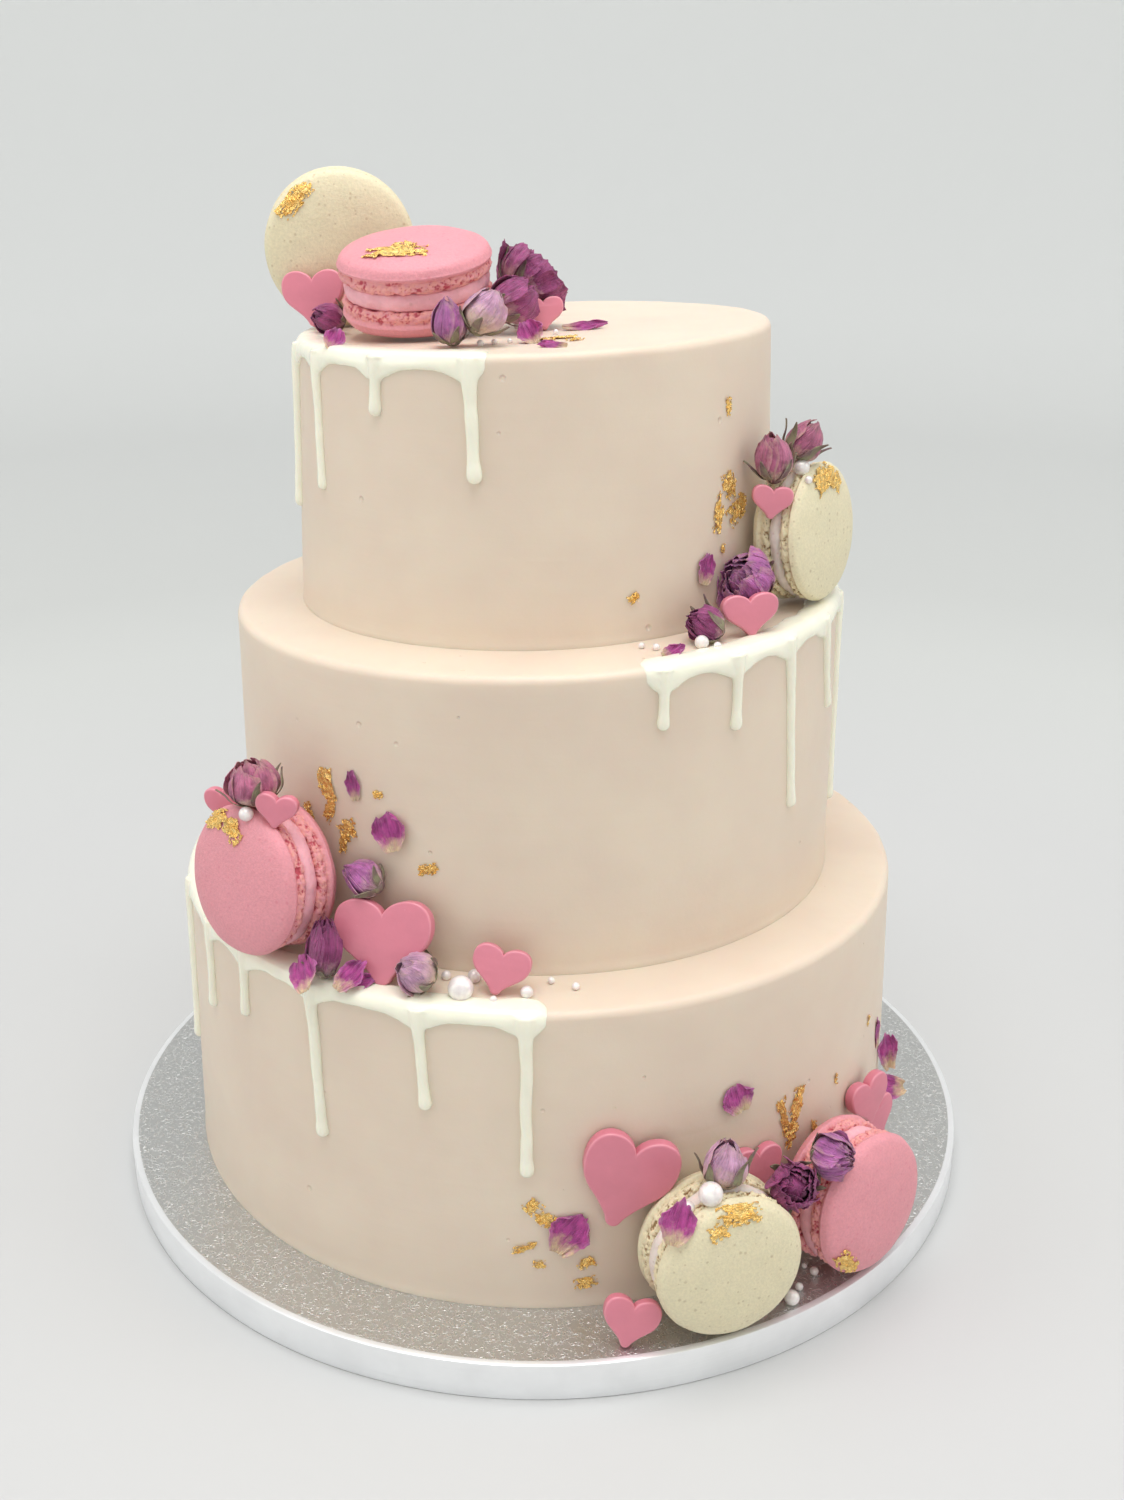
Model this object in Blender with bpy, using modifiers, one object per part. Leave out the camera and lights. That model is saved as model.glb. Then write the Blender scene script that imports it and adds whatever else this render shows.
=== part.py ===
"""Three-tier buttercream wedding cake on a round silver board.

Metres, +Z up. The origin is the centre of the board's underside, and the front of the cake
looks along -Y. White chocolate runs down each tier, and macarons, chocolate hearts, dried
rosebuds and petals lie on the ledges. Pearls, gold leaf, small petals and the drips are
joined to the piece that they lie on.
"""
import math
import random

import bmesh
import bpy
from mathutils import Matrix, Vector
from mathutils.bvhtree import BVHTree

MM = 0.001
GAP = 0.3 * MM
MERGE = 0.005 * MM
ROUND_STEPS = 48
SHARP_ANGLE = math.radians(35.0)

# The board is a standard 12 inch cake drum, and every other size was measured against it.
BOARD_RADIUS = 152.5 * MM
BOARD_HEIGHT = 12.7 * MM
BOARD_EDGE = 0.8 * MM

# Each tier: centre, radius at the foot and at the rim, heights, and how far each face tilts.
TIERS = {
    "tier_1": dict(centre=(-1.0, -3.0), foot=124.9, rim=122.0, base=12.7, top=113.9,
                   foot_tilt=0.0, top_tilt=0.0),
    "tier_2": dict(centre=(-1.4, -1.8), foot=100.6, rim=99.3, base=113.9, top=206.7,
                   foot_tilt=0.0, top_tilt=0.024),
    "tier_3": dict(centre=(-2.0, 1.9), foot=77.8, rim=74.7, base=206.7, top=290.8,
                   foot_tilt=0.024, top_tilt=0.038),
}
RIM_ROUND = 2.6 * MM

# White chocolate: the stretch of rim that it covers, in degrees, then each drip's angle at the
# rim and at its tip, its length and its width in millimetres.
ICING_POOL = 8.5 * MM
ICING_THICK = 1.2 * MM
ICING_LAP = 5.5 * MM
ICING_STEP = 7.0
DRIPS = {
    "tier_3": dict(start=-192.0, end=-99.0, runs=[
        (-168.0, -168.0, 52.0, 4.0),
        (-150.0, -147.0, 42.0, 3.6), (-127.0, -127.0, 17.6, 3.9), (-104.0, -102.8, 35.5, 4.5)]),
    "tier_2": dict(start=-73.0, end=11.0, runs=[
        (-69.0, -69.0, 19.0, 3.7), (-54.5, -54.5, 24.0, 3.9), (-41.0, -38.6, 57.0, 3.8),
        (-26.7, -22.5, 33.0, 3.7), (-9.5, -8.5, 75.0, 3.9)]),
    "tier_1": dict(start=-187.0, end=-88.5, runs=[
        (-166.0, -165.5, 62.0, 4.0),
        (-150.0, -150.0, 32.0, 3.8), (-138.5, -138.5, 24.0, 3.8), (-124.0, -122.7, 53.0, 4.2),
        (-107.0, -106.0, 34.0, 4.0), (-92.0, -92.0, 54.0, 4.4)]),
}

# Macarons, in shares of their radius: half the filling, the foot, the widest line and the crown.
MACARON_STEPS = 18
FILLING_HALF = 0.11
FILLING_RADIUS = 0.93
SHELL_OUTLINE = [(0.0, 0.565), (0.50, 0.545), (0.86, 0.475), (1.0, 0.36),
                 (0.965, 0.27), (0.985, 0.19), (0.950, FILLING_HALF)]
SHELL_FOOT = 0.30
HEART_THICK = 4.0 * MM
HEART_POINTS = 18
HEART_HEIGHT = 0.94
PETAL_THICK = 0.5 * MM
SETTLE_REACH = 12.0 * MM
SETTLE_LIFT = 2.0 * MM

PINK = (0.72, 0.235, 0.295)
PALE_PINK = (0.83, 0.55, 0.60)
BEIGE = (0.75, 0.66, 0.43)
LILAC_CREAM = (0.78, 0.70, 0.70)
BUTTERCREAM = (0.68, 0.59, 0.52)
SILVER = (0.72, 0.72, 0.72)
HEART_PINK = (0.60, 0.17, 0.235)
ROSE_VIOLET = (0.30, 0.07, 0.24)
ROSE_DARK = (0.13, 0.012, 0.07)
ROSE_PALE = (0.55, 0.33, 0.44)
PETAL_MAGENTA = (0.32, 0.03, 0.20)

# Macarons: colour, centre in mm, where the outer shell's face points (compass angle and rise),
# the radius in mm and how thick it is for its radius.
MACARONS = {
    "macaron_top_beige": dict(colour="beige", at=(-64.9, 22.0, 313.4), heading=-83.0, rise=-2.0,
                              radius=24.4, thick=0.92),
    "macaron_top_pink": dict(colour="pink", at=(-37.6, -16.4, 305.6), heading=-105.0, rise=77.0,
                             radius=23.8, thick=1.0),
    "macaron_right_beige": dict(colour="beige", at=(82.2, -30.9, 231.4), heading=-35.2, rise=4.9,
                                radius=21.9, thick=0.80),
    "macaron_left_pink": dict(colour="pink", at=(-84.4, -83.9, 138.3), heading=-131.0, rise=8.8,
                              radius=23.3, thick=0.98),
    "macaron_board_beige": dict(colour="beige", at=(51.9, -131.9, 36.9), heading=-71.9, rise=2.2,
                                radius=23.4, thick=1.04),
    "macaron_board_pink": dict(colour="pink", at=(95.9, -104.9, 36.8), heading=-50.0, rise=4.6,
                               radius=23.1, thick=1.02),
}

# Pearls that rest on a macaron's outer shell: x, y and radius, in mm.
SHELL_PEARLS = {
    "macaron_board_beige": [(47.9, -138.0, 3.65), (41.4, -138.2, 2.0)],
    "macaron_right_beige": [(79.0, -39.0, 2.5)],
    "macaron_left_pink": [(-87.0, -90.5, 2.2)],
}

# Gold leaf on a macaron's outer shell: right and up from the middle of its face, width, length
# and turn, in mm and degrees.
SHELL_GOLD = {
    "macaron_top_beige": [(-11.0, 16.0, 4.6, 7.0, -35.0)],
    "macaron_top_pink": [(-4.0, 13.0, 14.0, 5.0, 8.0)],
    "macaron_right_beige": [(-1.0, 17.0, 6.4, 6.0, 30.0)],
    "macaron_left_pink": [(-9.0, 17.5, 7.0, 4.4, 20.0)],
    "macaron_board_beige": [(-1.0, 19.0, 10.0, 4.4, 10.0)],
    "macaron_board_pink": [(-9.0, -14.0, 4.6, 7.0, 15.0)],
}

# Hearts: width in mm, centre in mm, heading and rise of the face, turn in the face's own plane,
# height for the width, and the way, or the compass angle, in which it is pushed until it
# touches. A heart that starts too close is first drawn away at the angle given.
HEARTS = {
    "heart_top_left": dict(size=20.0, at=(-72.1, 5.0, 299.0), heading=-97.0, rise=12.0, turn=4.0,
                           push="back"),
    "heart_top_right": dict(size=12.4, at=(0.8, -17.0, 295.5), heading=-84.0, rise=16.0, turn=3.0,
                            push="down"),
    "heart_right_large": dict(size=17.4, at=(61.4, -66.5, 216.0), heading=-78.0, rise=10.0,
                              turn=3.0, tall=0.82, push="down"),
    "heart_right_small": dict(size=12.4, at=(69.0, -50.5, 245.0), heading=-88.0, rise=8.0,
                              turn=-6.0, push="back"),
    "heart_left_crown": dict(size=12.6, at=(-77.4, -99.0, 164.6), heading=-98.0, rise=6.0,
                             turn=-8.0, push="back"),
    "heart_left_behind": dict(size=13.0, at=(-96.2, -70.5, 154.5), heading=-112.0, rise=4.0,
                              turn=12.0, away=150.0, push="down"),
    "heart_left_large": dict(size=31.0, at=(-47.0, -103.0, 125.5), heading=-109.0, rise=19.0,
                             turn=5.0, tall=0.88, push="down"),
    "heart_left_low": dict(size=17.4, at=(-12.6, -111.5, 122.0), heading=-96.0, rise=20.0,
                           turn=-12.0, push="down"),
    "heart_board_large": dict(size=29.0, at=(24.6, -130.0, 60.0), heading=-86.0, rise=3.0,
                              turn=-17.0, tall=1.13, push="in"),
    "heart_board_low": dict(size=17.5, at=(29.0, -141.0, 21.0), heading=-84.0, rise=14.0,
                            turn=-16.0, away=-160.0, push="down"),
    "heart_board_middle": dict(size=18.0, at=(67.4, -111.6, 51.0), heading=-60.0, rise=6.0,
                               turn=-6.0, away=170.0, push="in"),
    "heart_board_right": dict(size=19.0, at=(108.5, -74.0, 50.0), heading=-48.0, rise=5.0,
                              turn=4.0, push="in"),
    "heart_board_far": dict(size=15.0, at=(120.5, -58.0, 37.5), heading=-48.0, rise=8.0, turn=8.0,
                            push=-145.0),
}

# Rosebuds: length and width in mm, centre, where the tip points, how far the petals stand open
# from 0 to 1, colour, and the push. The sepals are long and free or held close.
BUDS = {
    "bud_top_dark": dict(size=(11.0, 8.6), at=(-67.0, -4.5, 293.8), heading=-150.0, rise=12.0,
                         open=0.2, colour="dark", sepals=4.0, away=-120.0, push="down"),
    "bud_top_violet": dict(size=(13.5, 9.6), at=(-26.2, -50.5, 297.5), heading=-160.0, rise=80.0,
                           open=0.0, colour="violet", sepals=5.0, away=-80.0, push="down"),
    "bud_top_lilac": dict(size=(13.6, 11.4), at=(-16.6, -50.5, 298.4), heading=15.0, rise=62.0,
                          open=0.15, colour="pale", sepals=5.0, away=-20.0, push="down"),
    "bud_top_magenta": dict(size=(14.5, 12.5), at=(-7.5, -24.5, 300.0), heading=20.0, rise=42.0,
                            open=0.35, colour="violet", sepals=4.0, away=-90.0, push="down"),
    "bud_top_rose": dict(size=(16.0, 16.5), at=(-3.4, -7.0, 303.0), heading=35.0, rise=40.0,
                         open=0.8, colour="dark", sepals=10.0, push="down"),
    "bud_right_inner": dict(size=(15.0, 10.4), at=(69.2, -43.5, 257.0), heading=165.0, rise=82.0,
                            open=0.1, colour="violet", sepals=7.0, push="down"),
    "bud_right_outer": dict(size=(14.0, 10.0), at=(80.0, -36.0, 262.0), heading=5.0, rise=58.0,
                            open=0.1, colour="violet", sepals=11.0, push="down"),
    "bud_right_low": dict(size=(12.0, 8.8), at=(47.4, -72.0, 213.8), heading=-165.0, rise=24.0,
                          open=0.3, colour="dark", sepals=6.0, away=-150.0, push="down"),
    "bud_right_open": dict(size=(14.0, 15.6), at=(61.6, -56.6, 222.1), heading=-150.0, rise=30.0,
                           open=0.5, colour="violet", sepals=4.0, away=90.0, push="in"),
    "bud_left_crown": dict(size=(14.5, 14.6), at=(-85.6, -84.0, 171.0), heading=170.0, rise=74.0,
                           open=0.25, colour="violet", sepals=10.0, push="down"),
    "bud_left_dark": dict(size=(18.5, 9.0), at=(-62.5, -100.0, 125.0), heading=60.0, rise=84.0,
                          open=0.3, colour="dark", sepals=4.0, away=-120.0, push="down"),
    "bud_left_violet": dict(size=(13.0, 10.0), at=(-53.4, -92.5, 142.0), heading=155.0, rise=20.0,
                            open=0.0, colour="violet", sepals=4.0, push="in"),
    "bud_left_pale": dict(size=(12.0, 11.4), at=(-37.3, -117.0, 121.4), heading=-168.0, rise=28.0,
                          open=0.15, colour="pale", sepals=5.0, push="back"),
    "bud_board_crown": dict(size=(15.0, 12.0), at=(52.8, -129.5, 68.0), heading=60.0, rise=80.0,
                            open=0.15, colour="violet", sepals=13.0, push="down"),
    "bud_board_end": dict(size=(13.0, 12.6), at=(74.2, -126.0, 58.0), heading=-84.0, rise=30.0,
                          open=0.55, colour="dark", sepals=7.0, push="down"),
    "bud_board_violet": dict(size=(13.5, 12.2), at=(87.0, -119.5, 61.5), heading=-35.0, rise=14.0,
                             open=0.35, colour="violet", sepals=4.0, away=-25.0, push="down"),
}

# Large petals: width and length in mm, centre, heading and rise of the face, turn, curl and push.
PETALS = {
    "petal_left_wall": dict(size=(11.5, 12.0), at=(-46.2, -94.6, 156.6), heading=-112.0, rise=8.0,
                            turn=20.0, curl=2.2, push="in"),
    "petal_left_dark": dict(size=(10.5, 13.0), at=(-70.5, -108.5, 118.5), heading=-140.0,
                            rise=40.0, turn=50.0, curl=3.0, push="in"),
    "petal_left_rim": dict(size=(8.0, 11.5), at=(-56.5, -109.5, 118.0), heading=-108.0, rise=50.0,
                           turn=-30.0, curl=2.0, away=-105.0, push="down"),
    "petal_board_wall": dict(size=(11.0, 10.4), at=(58.8, -113.0, 76.8), heading=-64.0, rise=4.0,
                             turn=15.0, curl=1.4, push="in"),
    "petal_board_left": dict(size=(13.0, 14.5), at=(7.4, -129.5, 40.0), heading=-88.0, rise=6.0,
                             turn=-35.0, curl=2.4, push="in"),
    "petal_board_cream": dict(size=(11.0, 13.5), at=(37.8, -149.0, 57.4), heading=-80.0, rise=14.0,
                              turn=-18.0, curl=1.4, push="back"),
    "petal_board_far": dict(size=(9.0, 13.0), at=(124.5, -47.5, 36.6), heading=-55.0, rise=32.0,
                            turn=75.0, curl=2.0, push="in"),
    "petal_board_upper": dict(size=(8.5, 15.0), at=(121.0, -42.5, 49.0), heading=-66.0, rise=2.0,
                              turn=8.0, curl=2.4, push="in"),
    "petal_right_wall": dict(size=(6.8, 9.6), at=(49.6, -57.6, 226.0), heading=-50.0, rise=6.0,
                             turn=-20.0, curl=1.6, push="in"),
}

# Pearls: where they lie, x and y of the centre on a tier's top or the board, and the radius, in mm.
LEDGE_PEARLS = {
    "tier_3": [(-7.0, -9.0, 1.6), (-13.5, -47.0, 0.9), (-17.5, -50.0, 1.0), (-9.0, -46.0, 0.8),
               (4.5, -29.0, 0.9)],
    "tier_2": [(46.3, -77.5, 2.1), (50.8, -79.0, 1.2), (28.9, -76.5, 1.0), (33.0, -78.5, 1.1)],
    "tier_1": [(-24.1, -115.0, 3.8), (-20.5, -105.6, 2.1), (-5.0, -114.8, 1.9),
               (-14.6, -118.0, 1.2), (2.1, -107.0, 1.1), (9.3, -110.6, 1.2), (-28.9, -104.2, 1.5)],
    "board": [(75.6, -126.6, 2.4), (78.8, -120.6, 1.3), (84.6, -113.6, 1.4), (82.0, -110.6, 0.9)],
}

# Gold leaf on a wall: angle, height, width, length and turn of each flake, in degrees and mm.
WALL_GOLD = {
    "tier_3": [(-40.5, 249.0, 4.0, 9.0, 20.0), (-44.3, 242.0, 3.2, 11.0, -12.0),
               (-38.6, 240.5, 5.0, 7.0, 35.0), (-36.6, 244.0, 3.6, 5.0, 70.0),
               (-41.0, 272.7, 2.2, 5.0, 8.0), (-42.9, 230.6, 2.0, 2.8, 0.0),
               (-68.3, 220.8, 3.4, 2.6, 30.0)],
    "tier_2": [(-129.2, 166.2, 6.0, 9.0, 10.0), (-128.6, 158.7, 3.6, 9.0, -15.0),
               (-124.6, 153.5, 7.0, 6.0, 30.0), (-125.6, 149.3, 3.4, 7.0, -10.0),
               (-118.0, 167.2, 3.0, 2.4, 0.0), (-108.9, 146.0, 6.0, 3.4, 20.0),
               (-134.0, 155.4, 3.0, 5.0, 25.0)],
    "tier_1": [(-52.4, 62.0, 3.6, 14.0, 14.0), (-49.9, 63.5, 5.0, 13.0, -12.0),
               (-50.8, 54.0, 3.4, 8.0, -30.0), (-45.6, 52.4, 2.6, 5.0, 0.0),
               (-28.0, 72.7, 1.8, 3.4, 0.0), (-40.0, 64.0, 1.6, 3.6, 0.0),
               (-91.2, 49.5, 5.0, 4.4, 40.0), (-89.6, 45.0, 5.6, 4.6, -20.0),
               (-92.4, 34.6, 7.4, 2.6, 18.0), (-90.4, 28.8, 3.4, 2.6, 0.0),
               (-83.9, 28.7, 5.0, 3.4, 20.0), (-83.9, 21.5, 6.4, 3.6, 10.0)],
}
TOP_GOLD = [(6.5, -39.0, 8.0, 3.6, 12.0), (1.5, -43.5, 5.0, 3.4, -30.0), (9.8, -45.0, 5.0, 2.4, 40.0)]

# Small petals that lie flat: x, y, width, length, turn and curl, in mm and degrees.
TOP_PETALS = {
    "tier_3": [(-3.2, -47.0, 8.0, 7.0, 20.0, 2.4), (13.5, -18.0, 4.0, 14.0, -78.0, 1.0),
               (3.4, -58.7, 3.0, 8.0, 80.0, 0.7), (-60.6, -39.0, 6.0, 7.0, -20.0, 1.2)],
    "tier_2": [(37.5, -84.5, 3.4, 7.5, -60.0, 1.0)],
    "tier_1": [(-54.6, -109.0, 4.0, 12.0, -74.0, 1.4)],
}
WALL_PETALS = {
    "tier_2": [(-123.0, 168.4, 5.6, 9.4, 10.0, 1.0)],
    "tier_1": [(-21.6, 60.0, 5.0, 12.0, 10.0, 1.0)],
}


def clear_scene():
    """Remove every object, so that the cake stands alone."""
    for obj in list(bpy.data.objects):
        bpy.data.objects.remove(obj, do_unlink=True)


def collection(name):
    """A collection in the scene, made once."""
    group = bpy.data.collections.get(name)
    if group is None:
        group = bpy.data.collections.new(name)
        bpy.context.scene.collection.children.link(group)
    return group


def material(name, colour, roughness, metallic=0.0):
    """A Principled material, made once for each name."""
    made = bpy.data.materials.get(name)
    if made is None:
        made = bpy.data.materials.new(name)
        made.use_nodes = True
        shader = made.node_tree.nodes["Principled BSDF"]
        shader.inputs["Base Color"].default_value = (*colour, 1.0)
        shader.inputs["Roughness"].default_value = roughness
        shader.inputs["Metallic"].default_value = metallic
    return made


def icing_surface():
    """The surface of a tier and of everything that is joined to it."""
    return material("buttercream", BUTTERCREAM, 0.5)


def finish_piece(name, mesh, surface, group="wedding_cake"):
    """Put a mesh in the scene as the named piece, with its one material."""
    mesh.name = name
    mesh.materials.clear()
    mesh.materials.append(surface)
    mesh.shade_smooth()
    mesh.set_sharp_from_angle(angle=SHARP_ANGLE)
    piece = bpy.data.objects.new(name, mesh)
    collection(group).objects.link(piece)
    return piece


def baked(obj):
    """The evaluated mesh of an object in world space, with its doubles merged."""
    bpy.context.view_layer.update()
    graph = bpy.context.evaluated_depsgraph_get()
    mesh = bpy.data.meshes.new_from_object(obj.evaluated_get(graph))
    mesh.transform(obj.matrix_world)
    bpy.data.objects.remove(obj, do_unlink=True)
    shape = bmesh.new()
    shape.from_mesh(mesh)
    bmesh.ops.remove_doubles(shape, verts=shape.verts, dist=MERGE)
    bmesh.ops.recalc_face_normals(shape, faces=shape.faces)
    shape.to_mesh(mesh)
    shape.free()
    return mesh


def turned(profile, steps, closed=False, start=0.0, span=360.0):
    """Turn a profile of (radius, height) about Z and return the closed mesh."""
    edges = [(i, i + 1) for i in range(len(profile) - 1)]
    if closed:
        edges.append((len(profile) - 1, 0))
    outline = bpy.data.meshes.new("profile")
    outline.from_pydata([(radius, 0.0, height) for radius, height in profile], edges, [])
    obj = bpy.data.objects.new("profile", outline)
    bpy.context.scene.collection.objects.link(obj)
    obj.rotation_euler.z = math.radians(start)
    screw = obj.modifiers.new("turn", "SCREW")
    screw.angle = math.radians(span)
    screw.steps = steps
    screw.render_steps = steps
    screw.use_merge_vertices = span >= 360.0
    screw.merge_threshold = MERGE
    mesh = baked(obj)
    if span < 360.0:
        shape = bmesh.new()
        shape.from_mesh(mesh)
        bmesh.ops.holes_fill(shape, edges=[edge for edge in shape.edges if edge.is_boundary])
        bmesh.ops.recalc_face_normals(shape, faces=shape.faces)
        shape.to_mesh(mesh)
        shape.free()
    return mesh


def frame_of(at, heading, rise, turn=0.0):
    """The matrix that puts a piece at a place, its +Z facing a heading and its +Y upwards."""
    across, up = math.radians(heading), math.radians(rise)
    face = Vector((math.cos(up) * math.cos(across), math.cos(up) * math.sin(across), math.sin(up)))
    side = Vector((0.0, 0.0, 1.0)).cross(face).normalized()
    upward = face.cross(side)
    axes = Matrix((side, upward, face)).transposed().to_4x4()
    return Matrix.Translation(at) @ axes @ Matrix.Rotation(math.radians(turn), 4, "Z")


def millimetres(place):
    """A place given in millimetres, in metres."""
    return Vector(place) * MM


def top_height(name, x):
    """Height of a tier's top, or of the board's, at x."""
    if name == "board":
        return BOARD_HEIGHT
    tier = TIERS[name]
    return tier["top"] * MM + tier["top_tilt"] * (x - tier["centre"][0] * MM)


def wall_radius(tier, height):
    """Radius of a tier's wall at a height."""
    share = (height - tier["base"] * MM) / ((tier["top"] - tier["base"]) * MM)
    return (tier["foot"] + (tier["rim"] - tier["foot"]) * share) * MM


def on_wall(name, angle, height, proud=0.0):
    """The point on a tier's wall at a compass angle and a height."""
    tier = TIERS[name]
    radius = wall_radius(tier, height) + proud
    centre_x, centre_y = tier["centre"]
    turn = math.radians(angle)
    return Vector((centre_x * MM + radius * math.cos(turn),
                   centre_y * MM + radius * math.sin(turn), height))


def below_rim(name, angle, depth):
    """Height of the point that lies a depth below a tier's rim at an angle."""
    tier = TIERS[name]
    x = tier["centre"][0] * MM + tier["rim"] * MM * math.cos(math.radians(angle))
    return top_height(name, x) - depth


def board_piece():
    """The round drum board with its softened edges."""
    profile = [(0.0, BOARD_HEIGHT), (BOARD_RADIUS - BOARD_EDGE, BOARD_HEIGHT),
               (BOARD_RADIUS, BOARD_HEIGHT - BOARD_EDGE), (BOARD_RADIUS, BOARD_EDGE),
               (BOARD_RADIUS - BOARD_EDGE, 0.0), (0.0, 0.0)]
    mesh = turned(profile, ROUND_STEPS)
    return finish_piece("board", mesh, material("silver foil", SILVER, 0.3, 1.0))


def tier_piece(name):
    """One tier: a slightly tapered drum whose faces tilt as the stacked cake settled."""
    tier = TIERS[name]
    foot, rim = tier["foot"] * MM, tier["rim"] * MM
    base, top = tier["base"] * MM + GAP, tier["top"] * MM
    corner = RIM_ROUND * (1.0 - math.sqrt(0.5))
    profile = [(0.0, top), (rim - RIM_ROUND, top), (rim - corner, top - corner),
               (rim, top - RIM_ROUND), (foot, base), (0.0, base)]
    mesh = turned(profile, ROUND_STEPS)
    centre_x, centre_y = tier["centre"]
    for vertex in mesh.vertices:
        share = (vertex.co.z - base) / (top - base)
        tilt = tier["foot_tilt"] * (1.0 - share) + tier["top_tilt"] * share
        vertex.co += Vector((centre_x * MM, centre_y * MM, tilt * vertex.co.x))
    return finish_piece(name, mesh, icing_surface())


def icing_band(name):
    """White chocolate over a stretch of rim: a thin pool on top that laps over the edge."""
    tier, plan = TIERS[name], DRIPS[name]
    rim, top = tier["rim"] * MM, tier["top"] * MM
    lap = top - ICING_LAP
    profile = [(rim - ICING_POOL, top - 0.6 * MM), (rim - ICING_POOL + 0.6 * MM, top + 0.5 * MM),
               (rim - 2.2 * MM, top + ICING_THICK * 0.9), (rim + ICING_THICK * 0.6, top - 0.8 * MM),
               (rim + ICING_THICK, top - 3.2 * MM), (rim + ICING_THICK * 0.9, lap + 0.7 * MM),
               (rim - 0.8 * MM, lap)]
    span = plan["end"] - plan["start"]
    mesh = turned(profile, round(span / ICING_STEP), closed=True, start=plan["start"], span=span)
    centre_x, centre_y = tier["centre"]
    for vertex in mesh.vertices:
        angle = math.degrees(math.atan2(vertex.co.y, vertex.co.x))
        nearest = min(abs((angle - run[0] + 180.0) % 360.0 - 180.0) for run in plan["runs"])
        if vertex.co.z < top - 4.0 * MM:
            vertex.co.z -= 2.6 * MM * math.exp(-(nearest / 5.0) ** 2) - 0.8 * MM
        vertex.co += Vector((centre_x * MM, centre_y * MM, tier["top_tilt"] * vertex.co.x))
    return finish_piece(name + " icing", mesh, icing_surface(), "toppings")


def drip(name, number, rim_angle, tip_angle, length, width):
    """One run of white chocolate: a funnel at the rim, a thin strand and a bead at the tip."""
    tier = TIERS[name]
    stations = [(1.2 * MM, 1.9), (4.5 * MM, 1.45), (9.0 * MM, 1.0), (0.55, 0.86)]
    beads = [(1.9, 1.06), (0.9, 0.94), (0.0, 0.42)]
    half = width * MM / 2.0
    points = []
    for depth, swell in stations:
        place = depth if depth < 0.05 else depth * length * MM
        points.append((min(place, length * MM * 0.8), swell))
    for back, swell in beads:
        points.append((length * MM - back * half, swell))
    points.sort(key=lambda point: point[0])
    curve = bpy.data.curves.new("drip", "CURVE")
    curve.dimensions = "3D"
    curve.bevel_depth = half
    curve.bevel_resolution = 1
    curve.use_fill_caps = True
    line = curve.splines.new("POLY")
    line.points.add(len(points) - 1)
    for point, (depth, swell) in zip(line.points, points):
        share = depth / (length * MM)
        angle = rim_angle + (tip_angle - rim_angle) * share
        height = below_rim(name, angle, depth)
        sunk = 0.85 * (swell - 1.0) * half if swell > 1.0 else 0.0
        proud = 0.15 * half - sunk if depth > 2.0 * MM else -0.9 * half
        point.co = (*on_wall(name, angle, height, proud), 1.0)
        point.radius = swell
    obj = bpy.data.objects.new("drip", curve)
    bpy.context.scene.collection.objects.link(obj)
    mesh = baked(obj)
    return finish_piece(f"{name} drip {number}", mesh, icing_surface(), "toppings")


def pearl(place, radius, fine):
    """A sugar pearl, with more faces the larger it is."""
    shape = bmesh.new()
    bmesh.ops.create_icosphere(shape, subdivisions=fine, radius=radius)
    mesh = bpy.data.meshes.new("pearl")
    shape.to_mesh(mesh)
    shape.free()
    mesh.transform(Matrix.Translation(place))
    return finish_piece("pearl", mesh, icing_surface(), "toppings")


def gold_flake(matrix, width, length, seed):
    """A crumpled flake of gold leaf, pressed on its surface."""
    draw = random.Random(seed)
    shape = bmesh.new()
    bmesh.ops.create_icosphere(shape, subdivisions=1, radius=0.5)
    for vertex in shape.verts:
        vertex.co.x *= width * MM * draw.uniform(0.75, 1.15)
        vertex.co.y *= length * MM * draw.uniform(0.8, 1.15)
        vertex.co.z *= 1.7 * MM * draw.uniform(0.7, 1.3)
    mesh = bpy.data.meshes.new("gold flake")
    shape.to_mesh(mesh)
    shape.free()
    mesh.transform(matrix)
    return finish_piece("gold flake", mesh, icing_surface(), "toppings")


def petal_mesh(width, length, curl, divisions, thick):
    """A thin wavy petal in its own plane, narrow at the foot, with both faces split alike."""
    shape = bmesh.new()
    bmesh.ops.create_grid(shape, x_segments=divisions, y_segments=divisions, size=0.5)
    for vertex in shape.verts:
        across, along = vertex.co.x * 2.0, vertex.co.y + 0.5
        spread = 0.34 + 0.66 * math.sin(math.pi * min(1.0, along * 0.72 + 0.02)) ** 0.8
        tip = 1.0 - 0.16 * across * across * along
        wave = 0.35 * math.sin(5.0 * across + 3.0 * along) * along
        cup = 0.5 * across * across + 0.5 * (along - 0.5) ** 2 * 2.0
        vertex.co = Vector((0.5 * across * spread * width, (along * tip - 0.5) * length,
                            (cup + 0.35 * wave - 0.3) * curl)) * MM
    bmesh.ops.triangulate(shape, faces=shape.faces)
    mesh = bpy.data.meshes.new("petal")
    shape.to_mesh(mesh)
    shape.free()
    obj = bpy.data.objects.new("petal", mesh)
    bpy.context.scene.collection.objects.link(obj)
    wall = obj.modifiers.new("thickness", "SOLIDIFY")
    wall.thickness = thick
    wall.offset = 0.0
    wall.use_even_offset = False
    return baked(obj)


def small_petal(matrix, width, length, curl):
    """A petal too small to be a piece of its own, laid on what carries it."""
    mesh = petal_mesh(width, length, curl, 3, PETAL_THICK)
    mesh.transform(matrix)
    return finish_piece("small petal", mesh, icing_surface(), "toppings")


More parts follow.
